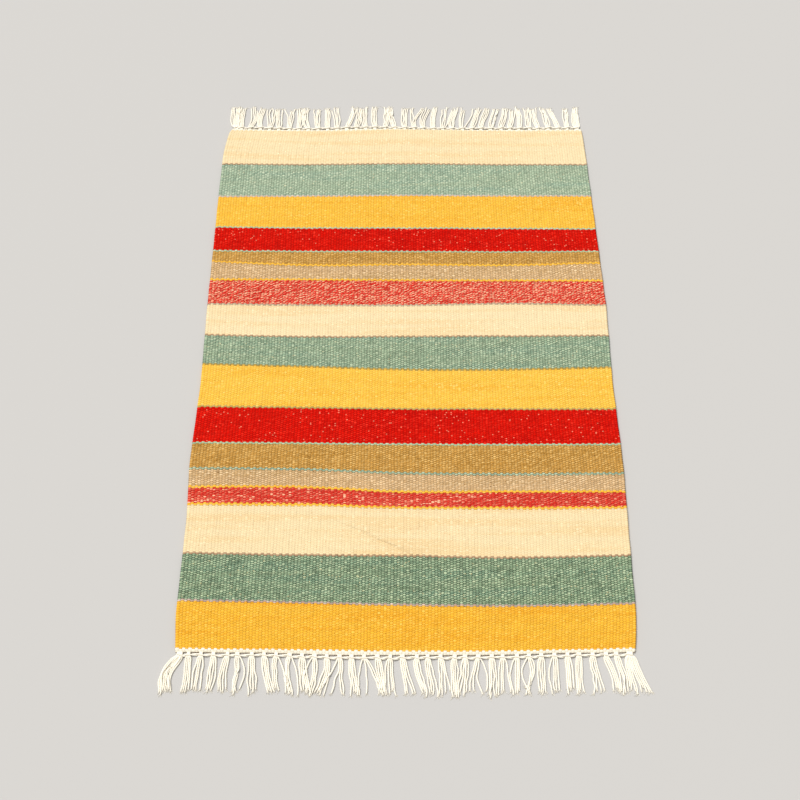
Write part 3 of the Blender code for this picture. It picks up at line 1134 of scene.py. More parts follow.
@dataclass
class WeftPlan:
    """Every pass of the weft, in order from the far end: its dye, and the stripe that it is in."""

    outline: FieldOutline
    line_passes: int = 2

    def __post_init__(self) -> None:
        """Counts each stripe's passes from its depth and its yarn's thickness."""
        middle = np.array([0.5])
        start = float(self.outline.end_line(middle, near=False)[0])
        self.dyes: list[Dye] = []
        self.first: list[int] = []
        for stripe in STRIPES:
            depth = float(stripe.ends(middle)[0]) - start
            line = [] if stripe.line is None else [stripe.line] * self.line_passes
            rest = depth - sum(self.pitch(dye) for dye in line)
            passes = max(2, round(rest / self.pitch(stripe.dye)))
            self.first.append(len(self.dyes))
            self.dyes += [stripe.dye] * passes + line
            start += depth
        self.first.append(len(self.dyes))
        LOG.info("weft: %d passes", len(self.dyes))

    def stripe_of(self, weft_pass: int) -> int:
        """The number of the stripe that a pass is in."""
        return int(np.searchsorted(self.first, weft_pass, side="right")) - 1

    @staticmethod
    def pitch(dye: Dye) -> float:
        """How much of the rug's length one pass of this yarn takes."""
        return WOOLS[dye].pass_pitch

    def lines(self, share: np.ndarray) -> np.ndarray:
        """How far along the rug each row of the mesh lies.

        Args:
            share: the columns' shares of the width.

        Returns:
            A row for the far edge, one for each pass and one for the near edge.
        """
        bounds = [self.outline.end_line(share, near=False)]
        bounds += [stripe.ends(share) for stripe in STRIPES[:-1]]
        bounds += [self.outline.end_line(share, near=True)]
        rows = [bounds[0]]
        for number in range(len(STRIPES)):
            dyes = self.dyes[self.first[number] : self.first[number + 1]]
            thick = np.array([self.pitch(dye) for dye in dyes])
            for way in (np.cumsum(thick) - thick / 2) / thick.sum():
                rows.append(bounds[number] * (1 - way) + bounds[number + 1] * way)
        rows.append(bounds[-1])
        return np.array(rows)


class Line(IntEnum):
    """What a line of points along a rib is."""

    VALLEY = 0
    LEFT_SHOULDER = 1
    RIGHT_SHOULDER = 2
    RIM = 3


class Column(NamedTuple):
    """One line of points along a rib: its share of the rib's width, how far it drops, and what it is."""

    part: float
    drop: float
    line: Line


LEFT_SELVEDGE = (
    Column(0.0, 2.1 * MM, Line.RIM),
    Column(0.08, 0.75 * MM, Line.LEFT_SHOULDER),
    Column(0.32, -0.35 * MM, Line.LEFT_SHOULDER),
    Column(0.72, -0.25 * MM, Line.RIGHT_SHOULDER),
)
RIGHT_SELVEDGE = (
    Column(0.28, -0.25 * MM, Line.LEFT_SHOULDER),
    Column(0.68, -0.35 * MM, Line.RIGHT_SHOULDER),
    Column(0.92, 0.75 * MM, Line.RIGHT_SHOULDER),
    Column(1.0, 2.1 * MM, Line.RIM),
)
# The heights of a stripe's own map that its two faces and its four narrow sides take
UPPER_BAND = (0.0, 0.6)
LOWER_BAND = (0.61, 0.95)
SIDE_STRIPS = (0.960, 0.970, 0.980, 0.990)
PANEL_FILL = 0.95  # how much of its panel's height on the map a face's rows take
OTHER_FACE = (0.0, 1000.0)  # added to the underside's places, so that its floats differ


@dataclass
class WovenField:
    """The rug's cloth, one piece for each stripe of its weft.

    Ribs rise from valleys, and a float that passes under lies a groove lower. Ridges, floats and
    passes are uneven, ribs wander and sway, both ends droop, and the far left corner is drawn in.

    Shoulder and sway are shares of a rib's width. Valley_share is how much of the unevenness reaches a
    valley, under_sway how far a low float sways against a high one, under_rim_sway the same at the rim,
    and pressed how much of its ribbing the underside keeps. Droop_rows counts passes, and clearance is
    the upper face's least height. The underside has one row in each underside_step.
    """

    outline: FieldOutline
    plan: WeftPlan
    palette: Palette
    fold: Fold = field(default_factory=Fold)
    ribs: int = 144
    width: float = 600 * MM
    selvedge: float = 5 * MM
    thickness: float = 4.0 * MM
    valley: float = 0.66 * MM
    valley_share: float = 0.3
    groove: float = 0.48 * MM
    shoulder: float = 0.27
    uneven: float = 0.13 * MM
    pass_drift: float = 0.25 * MM
    pass_drift_size: float = 26 * MM
    swell: float = 0.10 * MM
    swell_size: float = 14 * MM
    wander: float = 0.3 * MM
    wander_size: tuple[float, float] = (18 * MM, 60 * MM)
    sway: float = 0.06
    under_sway: float = 0.8
    under_rim_sway: float = 0.6
    droop: float = 1.6 * MM
    droop_rows: float = 1.1
    clearance: float = 0.3 * MM
    corner_in: float = 3.0 * MM
    corner_reach: tuple[float, float] = (30 * MM, 9 * MM)
    floor_gap: float = 0.05 * MM
    pressed: float = 0.9
    deepest: float = 1.0 * MM
    hem_out: float = 0.6 * MM
    hem_up: float = 0.5 * MM
    underside_step: int = 4
    panels: int = 3
    seed: int = 5
    drift_seed: int = 11
    swell_seed: int = 23

    def __post_init__(self) -> None:
        """Lays out columns, each rib's valley and two shoulders, more on a selvedge, and then rows."""
        inner = (self.width - 2 * self.selvedge) / (self.ribs - 2)
        last = self.ribs - 1
        valley = Column(0.0, self.valley, Line.VALLEY)
        left = Column(self.shoulder, 0.0, Line.LEFT_SHOULDER)
        right = Column(1 - self.shoulder, 0.0, Line.RIGHT_SHOULDER)
        ribs = [LEFT_SELVEDGE, *[(valley, left, right)] * (self.ribs - 2), (valley, *RIGHT_SELVEDGE)]
        columns = [(number, *column) for number, lines in enumerate(ribs) for column in lines]
        rib, part, self.drop, kind = np.array(columns, float).T
        edge = (rib == 0) | (rib == last)
        start = np.where(rib == 0, 0.0, self.selvedge + (rib - 1) * inner)
        self.share = (start + part * np.where(edge, self.selvedge, inner)) / self.width
        self.rib_place = rib + part
        self.rib_number = rib.astype(int)
        self.kind = kind.astype(int)

        along = self.plan.lines(self.share)
        rows = np.arange(len(along)) - 1.0
        rows[0], rows[-1] = -0.5, len(along) - 2.5
        self.row_place = rows
        self.over = (self.rib_number + np.arange(len(along))[:, None] - 1) % 2 == 0
        self.across = np.broadcast_to(self.share * self.width, along.shape)
        drift = slow_noise(self.drift_seed, self.across, along, self.pass_drift_size)
        self.along = along + self.pass_drift * drift
        self.lift = self.fold.lift(self.across, self.along)
        self.rng = np.random.default_rng(self.seed)

    def aside(self) -> np.ndarray:
        """How far each point lies aside, as floats sway to and fro and ribs wander.

        Returns:
            The shifts, rows by columns.
        """
        rib, kind, over = self.rib_number, self.kind, self.over
        outward = np.where(self.share < 0.5, -1.0, 1.0)
        swing = np.where(kind == Line.LEFT_SHOULDER, -1.0, 1.0) * np.where(over, 1.0, -self.under_sway)
        swing = np.where(kind == Line.VALLEY, np.where(over, -1.0, 1.0), swing)
        swing = np.where(kind == Line.RIM, outward * np.where(over, 1.0, -self.under_rim_sway), swing)
        wave = self.rng.uniform(*self.wander_size, self.ribs)[rib]
        phase = self.rng.uniform(0, TAU, self.ribs)[rib]
        wander = self.wander * np.sin(TAU * self.along / wave + phase) * (kind != Line.RIM)
        return swing * self.sway * self.width / self.ribs + wander

    def height(self) -> np.ndarray:
        """How high each point lies, over a rib or in a valley.

        Returns:
            The heights, rows by columns.
        """
        rib, valley = self.rib_number, self.kind == Line.VALLEY
        ridge = (self.rng.uniform(-1, 1, self.ribs) * self.uneven)[rib]
        lift = self.rng.uniform(-1, 1, (len(self.along), self.ribs))[:, rib] * self.uneven
        z = self.thickness - self.drop - np.where(self.over | valley, 0.0, self.groove)
        z = z + np.where(valley, self.valley_share, 1.0) * (ridge + lift)
        z = z + self.swell * slow_noise(self.swell_seed, self.across, self.along, self.swell_size)
        edge = np.minimum(self.row_place - self.row_place[0], self.row_place[-1] - self.row_place)
        droop = self.droop * (1 - smooth_step(edge[:, None] / self.droop_rows))
        return np.maximum(z + self.lift - droop, self.clearance)

    def surface(self) -> np.ndarray:
        """Lays out the upper face.

        Returns:
            Its points, a row for each pass and a column for each line along the ribs.
        """
        shift, z = self.aside(), self.height()
        y = self.outline.origin - self.along
        x = self.outline.across_to_x(self.share, y) + shift
        reach_across, reach_along = self.corner_reach
        drawn_in = 1 - smooth_step(self.across / reach_across)
        x = x + self.corner_in * drawn_in * (1 - smooth_step(self.along / reach_along))
        return np.stack([x, y, z], -1)

    def underside(self, top: np.ndarray, rows: np.ndarray) -> np.ndarray:
        """Lays out the lower face, ribbed too and resting on the floor.

        Args:
            top: the upper face's points.
            rows: the rows that it has points under.

        Returns:
            Its points, without the outermost column on each side.
        """
        inside = slice(1, -1)
        lower = top[rows][:, inside].copy()
        raised = np.clip(self.drop[inside], 0.0, self.deepest)[None, :]
        lower[..., 2] = self.floor_gap + raised * self.pressed + self.lift[rows][:, inside]
        for row, toward in ((0, -1), (len(self.row_place) - 1, 1)):
            lower[rows == row, :, 1] += toward * self.hem_out
            lower[rows == row, :, 2] += self.hem_up
        return lower

    def laid_out(self, columns: np.ndarray, rows: np.ndarray, band: tuple[float, float]) -> np.ndarray:
        """Where each cell's corners lie on the piece's own map, cut into panels that share its width.

        Args:
            columns: the columns' places in ribs.
            rows: the rows' places in passes.
            band: the lowest and highest part of the map to use.

        Returns:
            For each cell, its four corners' places.
        """
        low, high = band
        ribs = self.ribs / self.panels
        panel = np.minimum((columns[:-1] + 1e-6) // ribs, self.panels - 1)
        left, right = columns[:-1] / ribs - panel, columns[1:] / ribs - panel
        depth = (high - low) / self.panels
        way = (rows - rows[0]) / (rows[-1] - rows[0]) * PANEL_FILL
        up = low + depth * (panel[None, :] + way[:-1, None])
        down = low + depth * (panel[None, :] + way[1:, None])
        return patches(left, right, up, down)

    def stripe(self, number: int, top: np.ndarray, bounds: tuple[int, int]) -> bpy.types.Object:
        """One stripe as a closed piece of cloth.

        Args:
            number: the stripe's place in the table, 0 for the far cotton band.
            top: the whole upper face.
            bounds: its first and last rows.

        Returns:
            The piece, its floats in the materials of their passes.
        """
        rows = np.arange(bounds[0], bounds[1] + 1)
        low_rows = np.unique(np.append(rows[:-1 : self.underside_step], rows[-1]))
        parts = MeshParts()
        upper = parts.add_points(top[rows])
        lower = parts.add_points(self.underside(top, low_rows))

        # A float that goes under at a row belongs to the pass after it
        rib = self.rib_number[:-1][None, :]
        weft_pass = rows[:-1][:, None] - 1
        own = np.clip(weft_pass + (rib + weft_pass) % 2, 0, len(self.plan.dyes) - 1)
        main = (STRIPES[number].dye, STRIPES[number].lot_and_light)
        yarns = {int(at): (self.plan.dyes[at], STRIPES[self.plan.stripe_of(at)].lot_and_light) for at in np.unique(own)}
        used = [main] + sorted(set(yarns.values()) - {main}, key=lambda yarn: (yarn[0].value, yarn[1]))
        numbers = np.zeros(len(self.plan.dyes), int)
        for at, yarn in yarns.items():
            numbers[at] = used.index(yarn)

        drawn = np.stack(np.broadcast_arrays(self.rib_place[None, :], self.row_place[:, None]), -1)
        baked = self.laid_out(self.rib_place, self.row_place[rows], UPPER_BAND)
        parts.add_grid(upper, drawn[rows], baked, numbers[own])
        inside = slice(1, -1)
        baked = self.laid_out(self.rib_place[inside], self.row_place[low_rows], LOWER_BAND)
        parts.add_grid(lower, drawn[low_rows][:, inside] + OTHER_FACE, baked[..., ::-1, :], turned=True)
        plain = np.array([0.5, self.row_place[rows[0]] + 0.5])
        sides = (
            (lower[0], upper[0]),
            (upper[-1], lower[-1]),
            (upper[:, 0], lower[:, 0]),
            (lower[:, -1], upper[:, -1]),
        )
        for lines, strip in zip(sides, SIDE_STRIPS):
            parts.zip_lines(*lines, strip, plain)
        name = f"stripe_{number:02d}_{main[0].value}"
        return parts.build(name, WEAVE_MAP, [self.palette.wool(*yarn) for yarn in used])

    def build(self, fringes: dict[End, list[bpy.types.Object]]) -> list[bpy.types.Object]:
        """Builds and dresses every stripe, the cotton bands with the stripes beside them.

        Args:
            fringes: the pieces that hang from each end of the cloth, not used.

        Returns:
            The stripes.
        """
        top = self.surface()
        pieces = []
        last = len(STRIPES) - 2
        for number in range(1, last + 1):
            start = 0 if number == 1 else self.plan.first[number] + 1
            end = len(top) - 1 if number == last else self.plan.first[number + 1] + 1
            piece = self.stripe(number, top, (start, end))
            self.palette.dress(piece, STRIPES[number].dye.slot, "field")
            pieces.append(piece)
        return pieces


# ------------------------------------------------------------------ the fringes


class End(Enum):
    """The rug's two ends, each with the sign of its outward Y."""

    NEAR = -1
    FAR = 1


@dataclass(frozen=True)
class Stray:
    """A strand that leaves its group: how far aside its tip lies and its middle bows, in millimetres."""

    group: int
    strand: int
    tip: float
    bow: float


@dataclass(frozen=True)
class Way:
    """How the warp groups lie beyond one end, in millimetres, from left to right.

    Lean is each group's tip against its root, and fan is half the width that its tips spread over.
    Corner_bow is how far the left corner's group bows, corner_in is how far to the right it starts, and
    corner_strands are the strands of the first and the last group. Cord_out is the edge cords' distance
    out, strays are the strands that leave their groups, and length is a strand's, in metres.
    """

    lean: tuple[float, ...]
    fan: tuple[float, ...]
    corner_bow: float
    corner_in: float
    corner_strands: tuple[int, int]
    cord_out: float
    strays: tuple[Stray, ...]
    length: float
    seed: int


WAYS: dict[End, Way] = {
    End.NEAR: Way(
        lean=(
            *(-13, -1, -2.5, -2, -3, -2, 3, 11, 4, 4, 7, -4, -6, 2, 6, 10, 6, 2, 9),
            *(11, 7, 4, 0, -6, -1, 0, -3, -2, -5, -1, -2, 1, 0, 6, 12, 6, 9),
        ),
        fan=(
            *(9, 4, 6.5, 4.5, 6, 3, 6, 5.5, 3.5, 4, 6.5, 4, 3, 4, 6, 3, 4.5, 7.5, 7.5),
            *(4, 6.5, 7.5, 3, 6, 4, 5.5, 4.5, 5, 5, 6.5, 6, 4, 4.5, 6, 4.5, 4, 17),
        ),
        corner_bow=-9,
        corner_in=0,
        corner_strands=(8, 9),
        cord_out=3.2,
        strays=(
            Stray(5, 3, 3, 6),
            Stray(8, 3, 15, 2),
            Stray(9, 3, 14, 3),
            Stray(11, 0, -5, -6),
            Stray(12, 0, -13, 2),
            Stray(12, 1, -10, 5),
            Stray(13, 0, -29, 2),
            Stray(13, 1, -10, 3),
            Stray(15, 0, -8, -2),
            Stray(15, 1, 4, 1),
            Stray(15, 2, 20, 2),
            Stray(15, 3, 23, 2),
            Stray(24, 0, -13, -1),
            Stray(24, 1, -10, -1),
            Stray(24, 2, 4, -6),
            Stray(24, 3, 8, 3),
            Stray(26, 3, 10, 1),
            Stray(27, 0, -6, -5),
            Stray(28, 0, -2, -9),
            Stray(28, 3, -11, 8),
            Stray(30, 0, -6, -5),
        ),
        length=47 * MM,
        seed=41,
    ),
    End.FAR: Way(
        lean=(
            *(-2, 0, 4, 1.5, 0, -3, 3, 1, -5, -2, -2, -4, 13, 5, -1, -2, 4, -7, 1),
            *(-3, 8, 4, 6, 8, 5, 13, 13, 11, 10, 7, -2, -2, -5, -6, -12, 0, 1),
        ),
        fan=(
            *(10, 7, 5, 4, 7.5, 4.5, 5, 7, 5.5, 6, 4, 7, 4, 4, 5, 5, 5, 3, 5),
            *(4, 7, 4, 6, 4, 6, 5, 5, 5, 5, 5, 4, 4, 5, 4, 5, 4, 4),
        ),
        corner_bow=-1,
        corner_in=3,
        corner_strands=(7, 6),
        cord_out=2.5,
        strays=(
            Stray(6, 0, -10, 5),
            Stray(12, 0, 10, 5),
            Stray(19, 2, 12, -6),
            Stray(19, 3, 15, -4),
            Stray(22, 3, 17, 2),
            Stray(24, 3, 20, 2),
            Stray(34, 0, -18, 2),
        ),
        length=45 * MM,
        seed=77,
    ),
}


@dataclass
class Tubes:
    """Many round yarns as one mesh, each along its own line of points.

    The piece's own map has so many cells across and down, and some of them are used already.
    """

    sides: int = 8
    cells: tuple[int, int] = (1, 1)
    used: int = 0
    parts: MeshParts = field(default_factory=MeshParts)

    def add(
        self,
        lines: np.ndarray,
        radius: np.ndarray,
        flat: float,
        phase: np.ndarray,
        panels: int = 1,
    ) -> None:
        """Adds a set of yarns.

        Args:
            lines: the yarns' centre lines, yarns by points by 3.
            radius: each point's radius, yarns by points.
            flat: how much narrower the yarn is across its two plies, as a share of its radius.
            phase: each yarn's first turn, as a share of a full turn.
            panels: how many lengths each yarn is cut into on the piece's own map.
        """
        ahead = np.gradient(lines, axis=1)
        ahead /= np.linalg.norm(ahead, axis=-1, keepdims=True) + 1e-12
        side = np.cross(ahead, (0.0, 0.0, 1.0))
        side /= np.linalg.norm(side, axis=-1, keepdims=True) + 1e-12
        rise = np.cross(side, ahead)
        steps = np.linalg.norm(np.diff(lines, axis=1), axis=-1)
        run = np.concatenate([np.zeros((len(lines), 1)), np.cumsum(steps, 1)], 1) / MM
        # Each yarn starts some whole turns further on, so that no two are drawn alike
        whole_turns = np.arange(len(lines)) * 3 % 101
        run = run + (phase + whole_turns)[:, None] / YARN_TWIST
        turn = np.arange(self.sides) / self.sides
        shape = 1 - flat * (0.5 - 0.5 * np.cos(PLIES * TAU * (turn - YARN_TWIST * run[..., None])))
        reach = radius[..., None] * shape
        points = lines[:, :, None] + side[:, :, None] * (reach * np.cos(TAU * turn))[..., None]
        points = points + rise[:, :, None] * (reach * np.sin(TAU * turn))[..., None]
        ring = self.parts.add_points(points)
        closed = np.concatenate([ring, ring[..., :1]], -1)

        around = np.broadcast_to(np.arange(self.sides + 1) / self.sides, closed.shape)
        drawn = np.stack([around, np.broadcast_to(run[..., None], closed.shape)], -1)
        baked = self.laid_out(len(lines), lines.shape[1] - 1, panels)
        self.parts.add_grid(closed, drawn, baked, turned=True)
        for at, end in ((0, ring[:, 0]), (-1, ring[:, -1, ::-1])):
            for step in range(1, self.sides - 1):
                corners = np.stack([end[:, 0], end[:, step], end[:, step + 1]], -1)
                self.parts.add_faces(corners, (0.0, 0.0), baked[:, at, step, :3])
        self.used += len(lines) * panels

    def laid_out(self, yarns: int, segments: int, panels: int) -> np.ndarray:
        """Where faces lie on the piece's own map, which has a cell for each panel of each yarn.

        Args:
            yarns: how many yarns.
            segments: how many segments each has.
            panels: how many lengths each is cut into.

        Returns:
            For each face, its four corners' places.
        """
        across, down = self.cells
        segment = np.arange(segments)
        panel = segment * panels // segments
        first = np.searchsorted(panel, panel)
        size = np.bincount(panel)[panel]
        cell = self.used + np.arange(yarns)[:, None] * panels + panel[None, :]
        left, low = (cell % across) / across, (cell // across) / down
        start = low + CELL_FILL[1] * (segment - first) / size / down
        end = low + CELL_FILL[1] * (segment - first + 1) / size / down
        sides = left[..., None] + CELL_FILL[0] * np.arange(self.sides + 1) / self.sides / across
        return patches(sides[..., 1:], sides[..., :-1], start[..., None], end[..., None])


@dataclass(frozen=True)
class Lay:
    """How a fringe's strands leave their cords, before they settle.

    Each group's bow, and each strand's bow, tip and length, is drawn with the spread given here. A strand
    starts at its root under the cloth, opens out of its group's bundle, comes down on the floor, and
    ripples in a few waves, each with its number along the strand and its size.
    """

    fan_share: float = 0.85
    group_bow: float = 1.6 * MM
    strand_bow: float = 0.7 * MM
    bow_shape: float = 1.3
    tip: float = 0.8 * MM
    length: float = 0.05
    root: float = 1.5 * MM
    root_height: float = 2.0 * MM
    tucked: float = 4 * MM
    widest: float = 12.5 * MM
    opening: float = 5 * MM
    landing: float = 9 * MM
    layers: float = 1.4 * MM
    straight: float = 0.55
    ripples: tuple[float, ...] = (0.9, 1.8, 3.3)
    ripple_sizes: tuple[float, ...] = (0.8 * MM, 0.6 * MM, 0.4 * MM)
    ripple_rise: float = 3.0


@dataclass(frozen=True)
class Settling:
    """How strands come to rest: small steps that sink, straighten and part them.

    The first points of a strand are held. In a step each point sinks, is drawn back to its first place
    and to its neighbours' middle, and is pushed off the nearest strands, more so upward.
    """

    steps: int = 90
    held: int = 4
    sink: float = 0.06 * MM
    draw_back: float = 0.03
    straighten: tuple[float, float, float] = (0.12, 0.12, 0.4)
    neighbours: int = 10
    push: float = 0.22
    climb: float = 0.25

    def settle(self, lines: np.ndarray, radius: float) -> np.ndarray:
        """Lets the strands rest on the floor and on each other, each keeping its length.

        Args:
            lines: the strands' first lines.
            radius: a strand's radius.

        Returns:
            The lines with hardly any two strands in one place.
        """
        held = self.held
        rest = np.linalg.norm(np.diff(lines, axis=1), axis=-1)
        places = lines.copy()
        for _ in range(self.steps):
            places[:, held:, 2] -= self.sink
            places[:, held:, :2] += self.draw_back * (lines[:, held:, :2] - places[:, held:, :2])
            bend = 0.5 * (places[:, held - 1 : -2] + places[:, held + 1 :]) - places[:, held:-1]
            places[:, held:-1] += bend * np.array(self.straighten)
            for near in range(1, self.neighbours + 1):
                first, second = places[:-near], places[near:]
                apart = first[:, :, None] - second[:, None, :]
                gap = np.linalg.norm(apart, axis=-1)
                push = np.clip(2 * radius - gap, 0, None) * self.push
                step = apart / (gap[..., None] + 1e-9)
                step[..., 2] += self.climb * np.sign(step[..., 2] + 1e-6)
                move = step * push[..., None]
                move[:, :held] = 0
                first[:, held:] += move.sum(2)[:, held:]
                second[:, held:] -= move.sum(1)[:, held:]
            for parity in (0, 1):
                pair = np.arange(held - 1 + parity, places.shape[1] - 1, 2)
                gap = places[:, pair + 1] - places[:, pair]
                size = np.linalg.norm(gap, axis=-1, keepdims=True)
                places[:, pair + 1] -= gap * (1 - rest[:, pair][..., None] / size)
            places[:, held:, 2] = np.maximum(places[:, held:, 2], radius)
        return places


@dataclass(frozen=True)
class Fray:
    """The loose threads that fan out of a strand's tip, within the ranges and spreads given here.

    They start at one of the strand's last points, and point away from an earlier one.
    """

    threads: int = 7
    points: int = 5
    start: int = -4
    away_from: int = -7
    length: tuple[float, float] = (3.5 * MM, 7.0 * MM)
    splay: float = 0.22
    curl: float = 0.35
    aside: float = 0.8 * MM
    lift: tuple[float, float] = (0.2 * MM, 1.2 * MM)
    end_height: float = 0.45 * MM
    radius: float = 0.27 * MM
    thinner: float = 0.5

    def add(self, lines: np.ndarray, strands: Tubes, rng: np.random.Generator) -> None:
        """Adds the threads of every strand.

        Args:
            lines: the strands' lines.
            strands: the mesh to add them to.
            rng: what to draw from.
        """
        tip = np.repeat(lines[:, self.start], self.threads, axis=0)
        ahead = np.repeat(lines[:, -1] - lines[:, self.away_from], self.threads, axis=0)
        ahead[:, 2] = 0
        ahead /= np.linalg.norm(ahead, axis=1, keepdims=True)
        side = np.stack([-ahead[:, 1], ahead[:, 0], np.zeros(len(ahead))], 1)
        way = np.linspace(0, 1, self.points)[None, :, None]
        each = (len(tip), 1, 1)
        length = rng.uniform(*self.length, each)
        splay, curl = rng.normal(0, self.splay, each), rng.normal(0, self.curl, each)
        start = side * rng.uniform(-self.aside, self.aside, (len(tip), 1))
        threads = (tip + start)[:, None] + ahead[:, None] * length * way
        threads = threads + side[:, None] * length * (splay * way + curl * way**2)
        threads[..., 2:] = self.end_height + rng.uniform(*self.lift, each) * (1 - way)
        # On the piece's map the threads share its last row, in cells half as wide
        thin = Tubes(sides=3, cells=(strands.cells[0] * 2, 3), parts=strands.parts)
        for number in range(self.threads):
            thin.used = strands.cells[0] * 4
            chosen = threads[number :: self.threads]
            radius = self.radius * (1 - self.thinner * way[..., 0]) * np.ones((len(chosen), 1))
            thin.add(chosen, radius, flat=0.0, phase=rng.uniform(0, 1, len(chosen)))


@dataclass
class Fringe:
    """The loose warp ends of one end of the rug, and the twined cords that hold them.

    Corner_group, first_group and last_group place the left corner's group, the next one and the last,
    from the ends of the edge. Neck is a bundle's width under the cords, as a share of its strands side
    by side, skew is how far aside it may stand there, and taper is the share of a strand that thins and
    by how much. Between the groups the cords sag outward, less a pull, and each slants. A strand's line
    has so many knots while it settles, and its mesh so many rings.
    """

    end: End
    outline: FieldOutline
    palette: Palette
    lay: Lay = field(default_factory=Lay)
    settling: Settling = field(default_factory=Settling)
    fray: Fray = field(default_factory=Fray)
    groups: int = 37
    strands: int = 4
    corner_group: float = 5.8 * MM
    first_group: float = 17.4 * MM
    last_group: float = 7.5 * MM
    drift: float = 0.8 * MM
    drift_turn: float = 2.1
    strand_radius: float = 1.2 * MM
    uneven: float = 0.05
    flat: float = 0.22
    taper: tuple[float, float] = (0.08, 0.5)
    bundle_height: float = 2.3 * MM
    neck: tuple[float, float] = (0.35, 0.6)
    skew: float = 1.2 * MM
    cord_radius: float = 1.0 * MM
    cord_overhang: float = 9 * MM
    cord_end: float = 0.35
    cord_grip: float = 0.9
    cord_depth: float = 0.65
    cord_swell: float = 0.12
    cord_wobble: float = 0.3 * MM
    cord_wobble_turn: float = 2.7
    cord_phases: tuple[float, float] = (0.0, 0.3)
    cord_steps: int = 22
    cord_panels: int = 19
    sag: float = 1.1 * MM
    pull: tuple[float, float] = (-0.2 * MM, 1.3 * MM)
    slant: tuple[float, float] = (-0.25 * MM, 0.65 * MM)
    knots: int = 24
    rings: int = 46

    def __post_init__(self) -> None:
        """Sets out the groups' places across the end, and this end's ways."""
        self.way = WAYS[self.end]
        self.cord_out = self.way.cord_out * MM
        self.rng = np.random.default_rng(self.way.seed)
        self.name = self.end.name.lower()
        line = self.outline.near if self.end is End.NEAR else self.outline.far
        self.edge_x, self.edge_y = line[:, 0], line[:, 1]
        left, right = self.edge_x[0], self.edge_x[-1]
        number = np.arange(self.groups)
        first, last = left + self.first_group, right - self.last_group
        centre = first + (last - first) * (number - 1) / (self.groups - 2)
        inner = (number > 1) & (number < self.groups - 1)
        centre = centre + self.drift * np.sin(number * self.drift_turn) * inner
        centre[0] = left + self.corner_group + self.way.corner_in * MM
        self.centre = centre
        counts = np.full(self.groups, self.strands)
        counts[[0, -1]] = self.way.corner_strands
        self.group = np.repeat(number, counts)
        self.strand = np.concatenate([np.arange(count) for count in counts])
        self.slot = self.strand - (counts[self.group] - 1) / 2
        self.count = counts[self.group]

    def place(self, x: np.ndarray, out: np.ndarray, z: np.ndarray) -> np.ndarray:
        """Points beyond this end of the field, given how far out from its edge they lie."""
        edge = np.interp(x, self.edge_x, self.edge_y)
        return np.stack(np.broadcast_arrays(x, edge + self.end.value * out, z), -1)

    def first_lines(self) -> np.ndarray:
        """Lays the strands as if none met another.

        Returns:
            The strands' lines, strands by points by 3.
        """
        rng, lay = self.rng, self.lay
        total = len(self.group)
        side = self.slot / np.maximum((self.count - 1) / 2, 1)
        lean, fan = np.array(self.way.lean)[self.group], np.array(self.way.fan)[self.group]
        tip = (lean + fan * side * lay.fan_share) * MM
        bow = (lay.group_bow * rng.standard_normal(self.groups))[self.group]
        bow[self.group == 0] = self.way.corner_bow * MM
        for stray in self.way.strays:
            chosen = (self.group == stray.group) & (self.strand == stray.strand)
            tip[chosen], bow[chosen] = stray.tip * MM, stray.bow * MM
        tip += lay.tip * rng.standard_normal(total)
        bow += lay.strand_bow * rng.standard_normal(total)

        length = self.way.length * (1 + lay.length * rng.standard_normal(total))[:, None]
        out = -lay.root + (length + lay.tucked) * np.linspace(0, 1, self.knots)[None, :]
        beyond = out - self.cord_out
        free = np.clip(beyond / self.way.length, 0, None)
        pitch = np.minimum(2 * self.strand_radius, lay.widest / np.maximum(self.count - 1, 1))[:, None]
        open_out = smooth_step(beyond / lay.opening)
        neck = rng.uniform(*self.neck, self.groups)[self.group][:, None]
        skew = rng.uniform(-self.skew, self.skew, self.groups)[self.group][:, None]
        across = self.slot[:, None] * pitch * (neck + (1 - neck) * open_out) + skew * (1 - open_out)
        share = lay.straight * free + (1 - lay.straight) * smooth_step(free)
        across = across * (1 - share) + tip[:, None] * share
        across = across + bow[:, None] * np.sin(math.pi * np.clip(free, 0, 1)) ** lay.bow_shape
        own = rng.standard_normal((total, len(lay.ripples))) * np.array(lay.ripple_sizes)
        for step, wave in enumerate(lay.ripples):
            ripple = np.sin(TAU * (wave * free + rng.random((total, 1))))
            across = across + own[:, step : step + 1] * ripple * smooth_step(free * lay.ripple_rise)
        layer = rng.uniform(0.0, lay.layers, (total, 1))
        drop = smooth_step(beyond / lay.landing)
        rise = (self.bundle_height - lay.root_height) * smooth_step(out / self.cord_out)
        z = np.where(out < self.cord_out, lay.root_height + rise, self.bundle_height)
        z = z * (1 - drop) + drop * (self.strand_radius + layer)
        return self.place(self.centre[self.group][:, None] + across, out, z)

    def strand_piece(self) -> bpy.types.Object:
        """Makes every strand of this end, with its frayed tip, as one mesh.

        Returns:
            The dressed piece.
        """
        settled = self.settling.settle(self.first_lines(), self.strand_radius)
        places = np.linspace(0, self.knots - 1, self.rings)
        lines = spline(settled.swapaxes(0, 1), places).swapaxes(0, 1)
        total = len(lines)
        radius = self.strand_radius * (1 + self.uneven * self.rng.standard_normal((total, 1)))
        lines[..., 2] = np.maximum(lines[..., 2], radius)
        tapered, thinner = self.taper
        way = np.linspace(0, 1, self.rings)[None, :]
        radius = radius * (1 - thinner * smooth_step((way - (1 - tapered)) / tapered))
        tubes = Tubes(sides=8, cells=(math.ceil(total / 2), 3))
        tubes.add(lines, radius, self.flat, phase=self.rng.uniform(0, 1, total))
        self.fray.add(lines, tubes, self.rng)
        piece = tubes.parts.build(f"{self.name}_strands", YARN_MAP, [self.palette.yarn])
        return self.palette.dress(piece, "cotton_yarn", f"{self.name}_fringe")

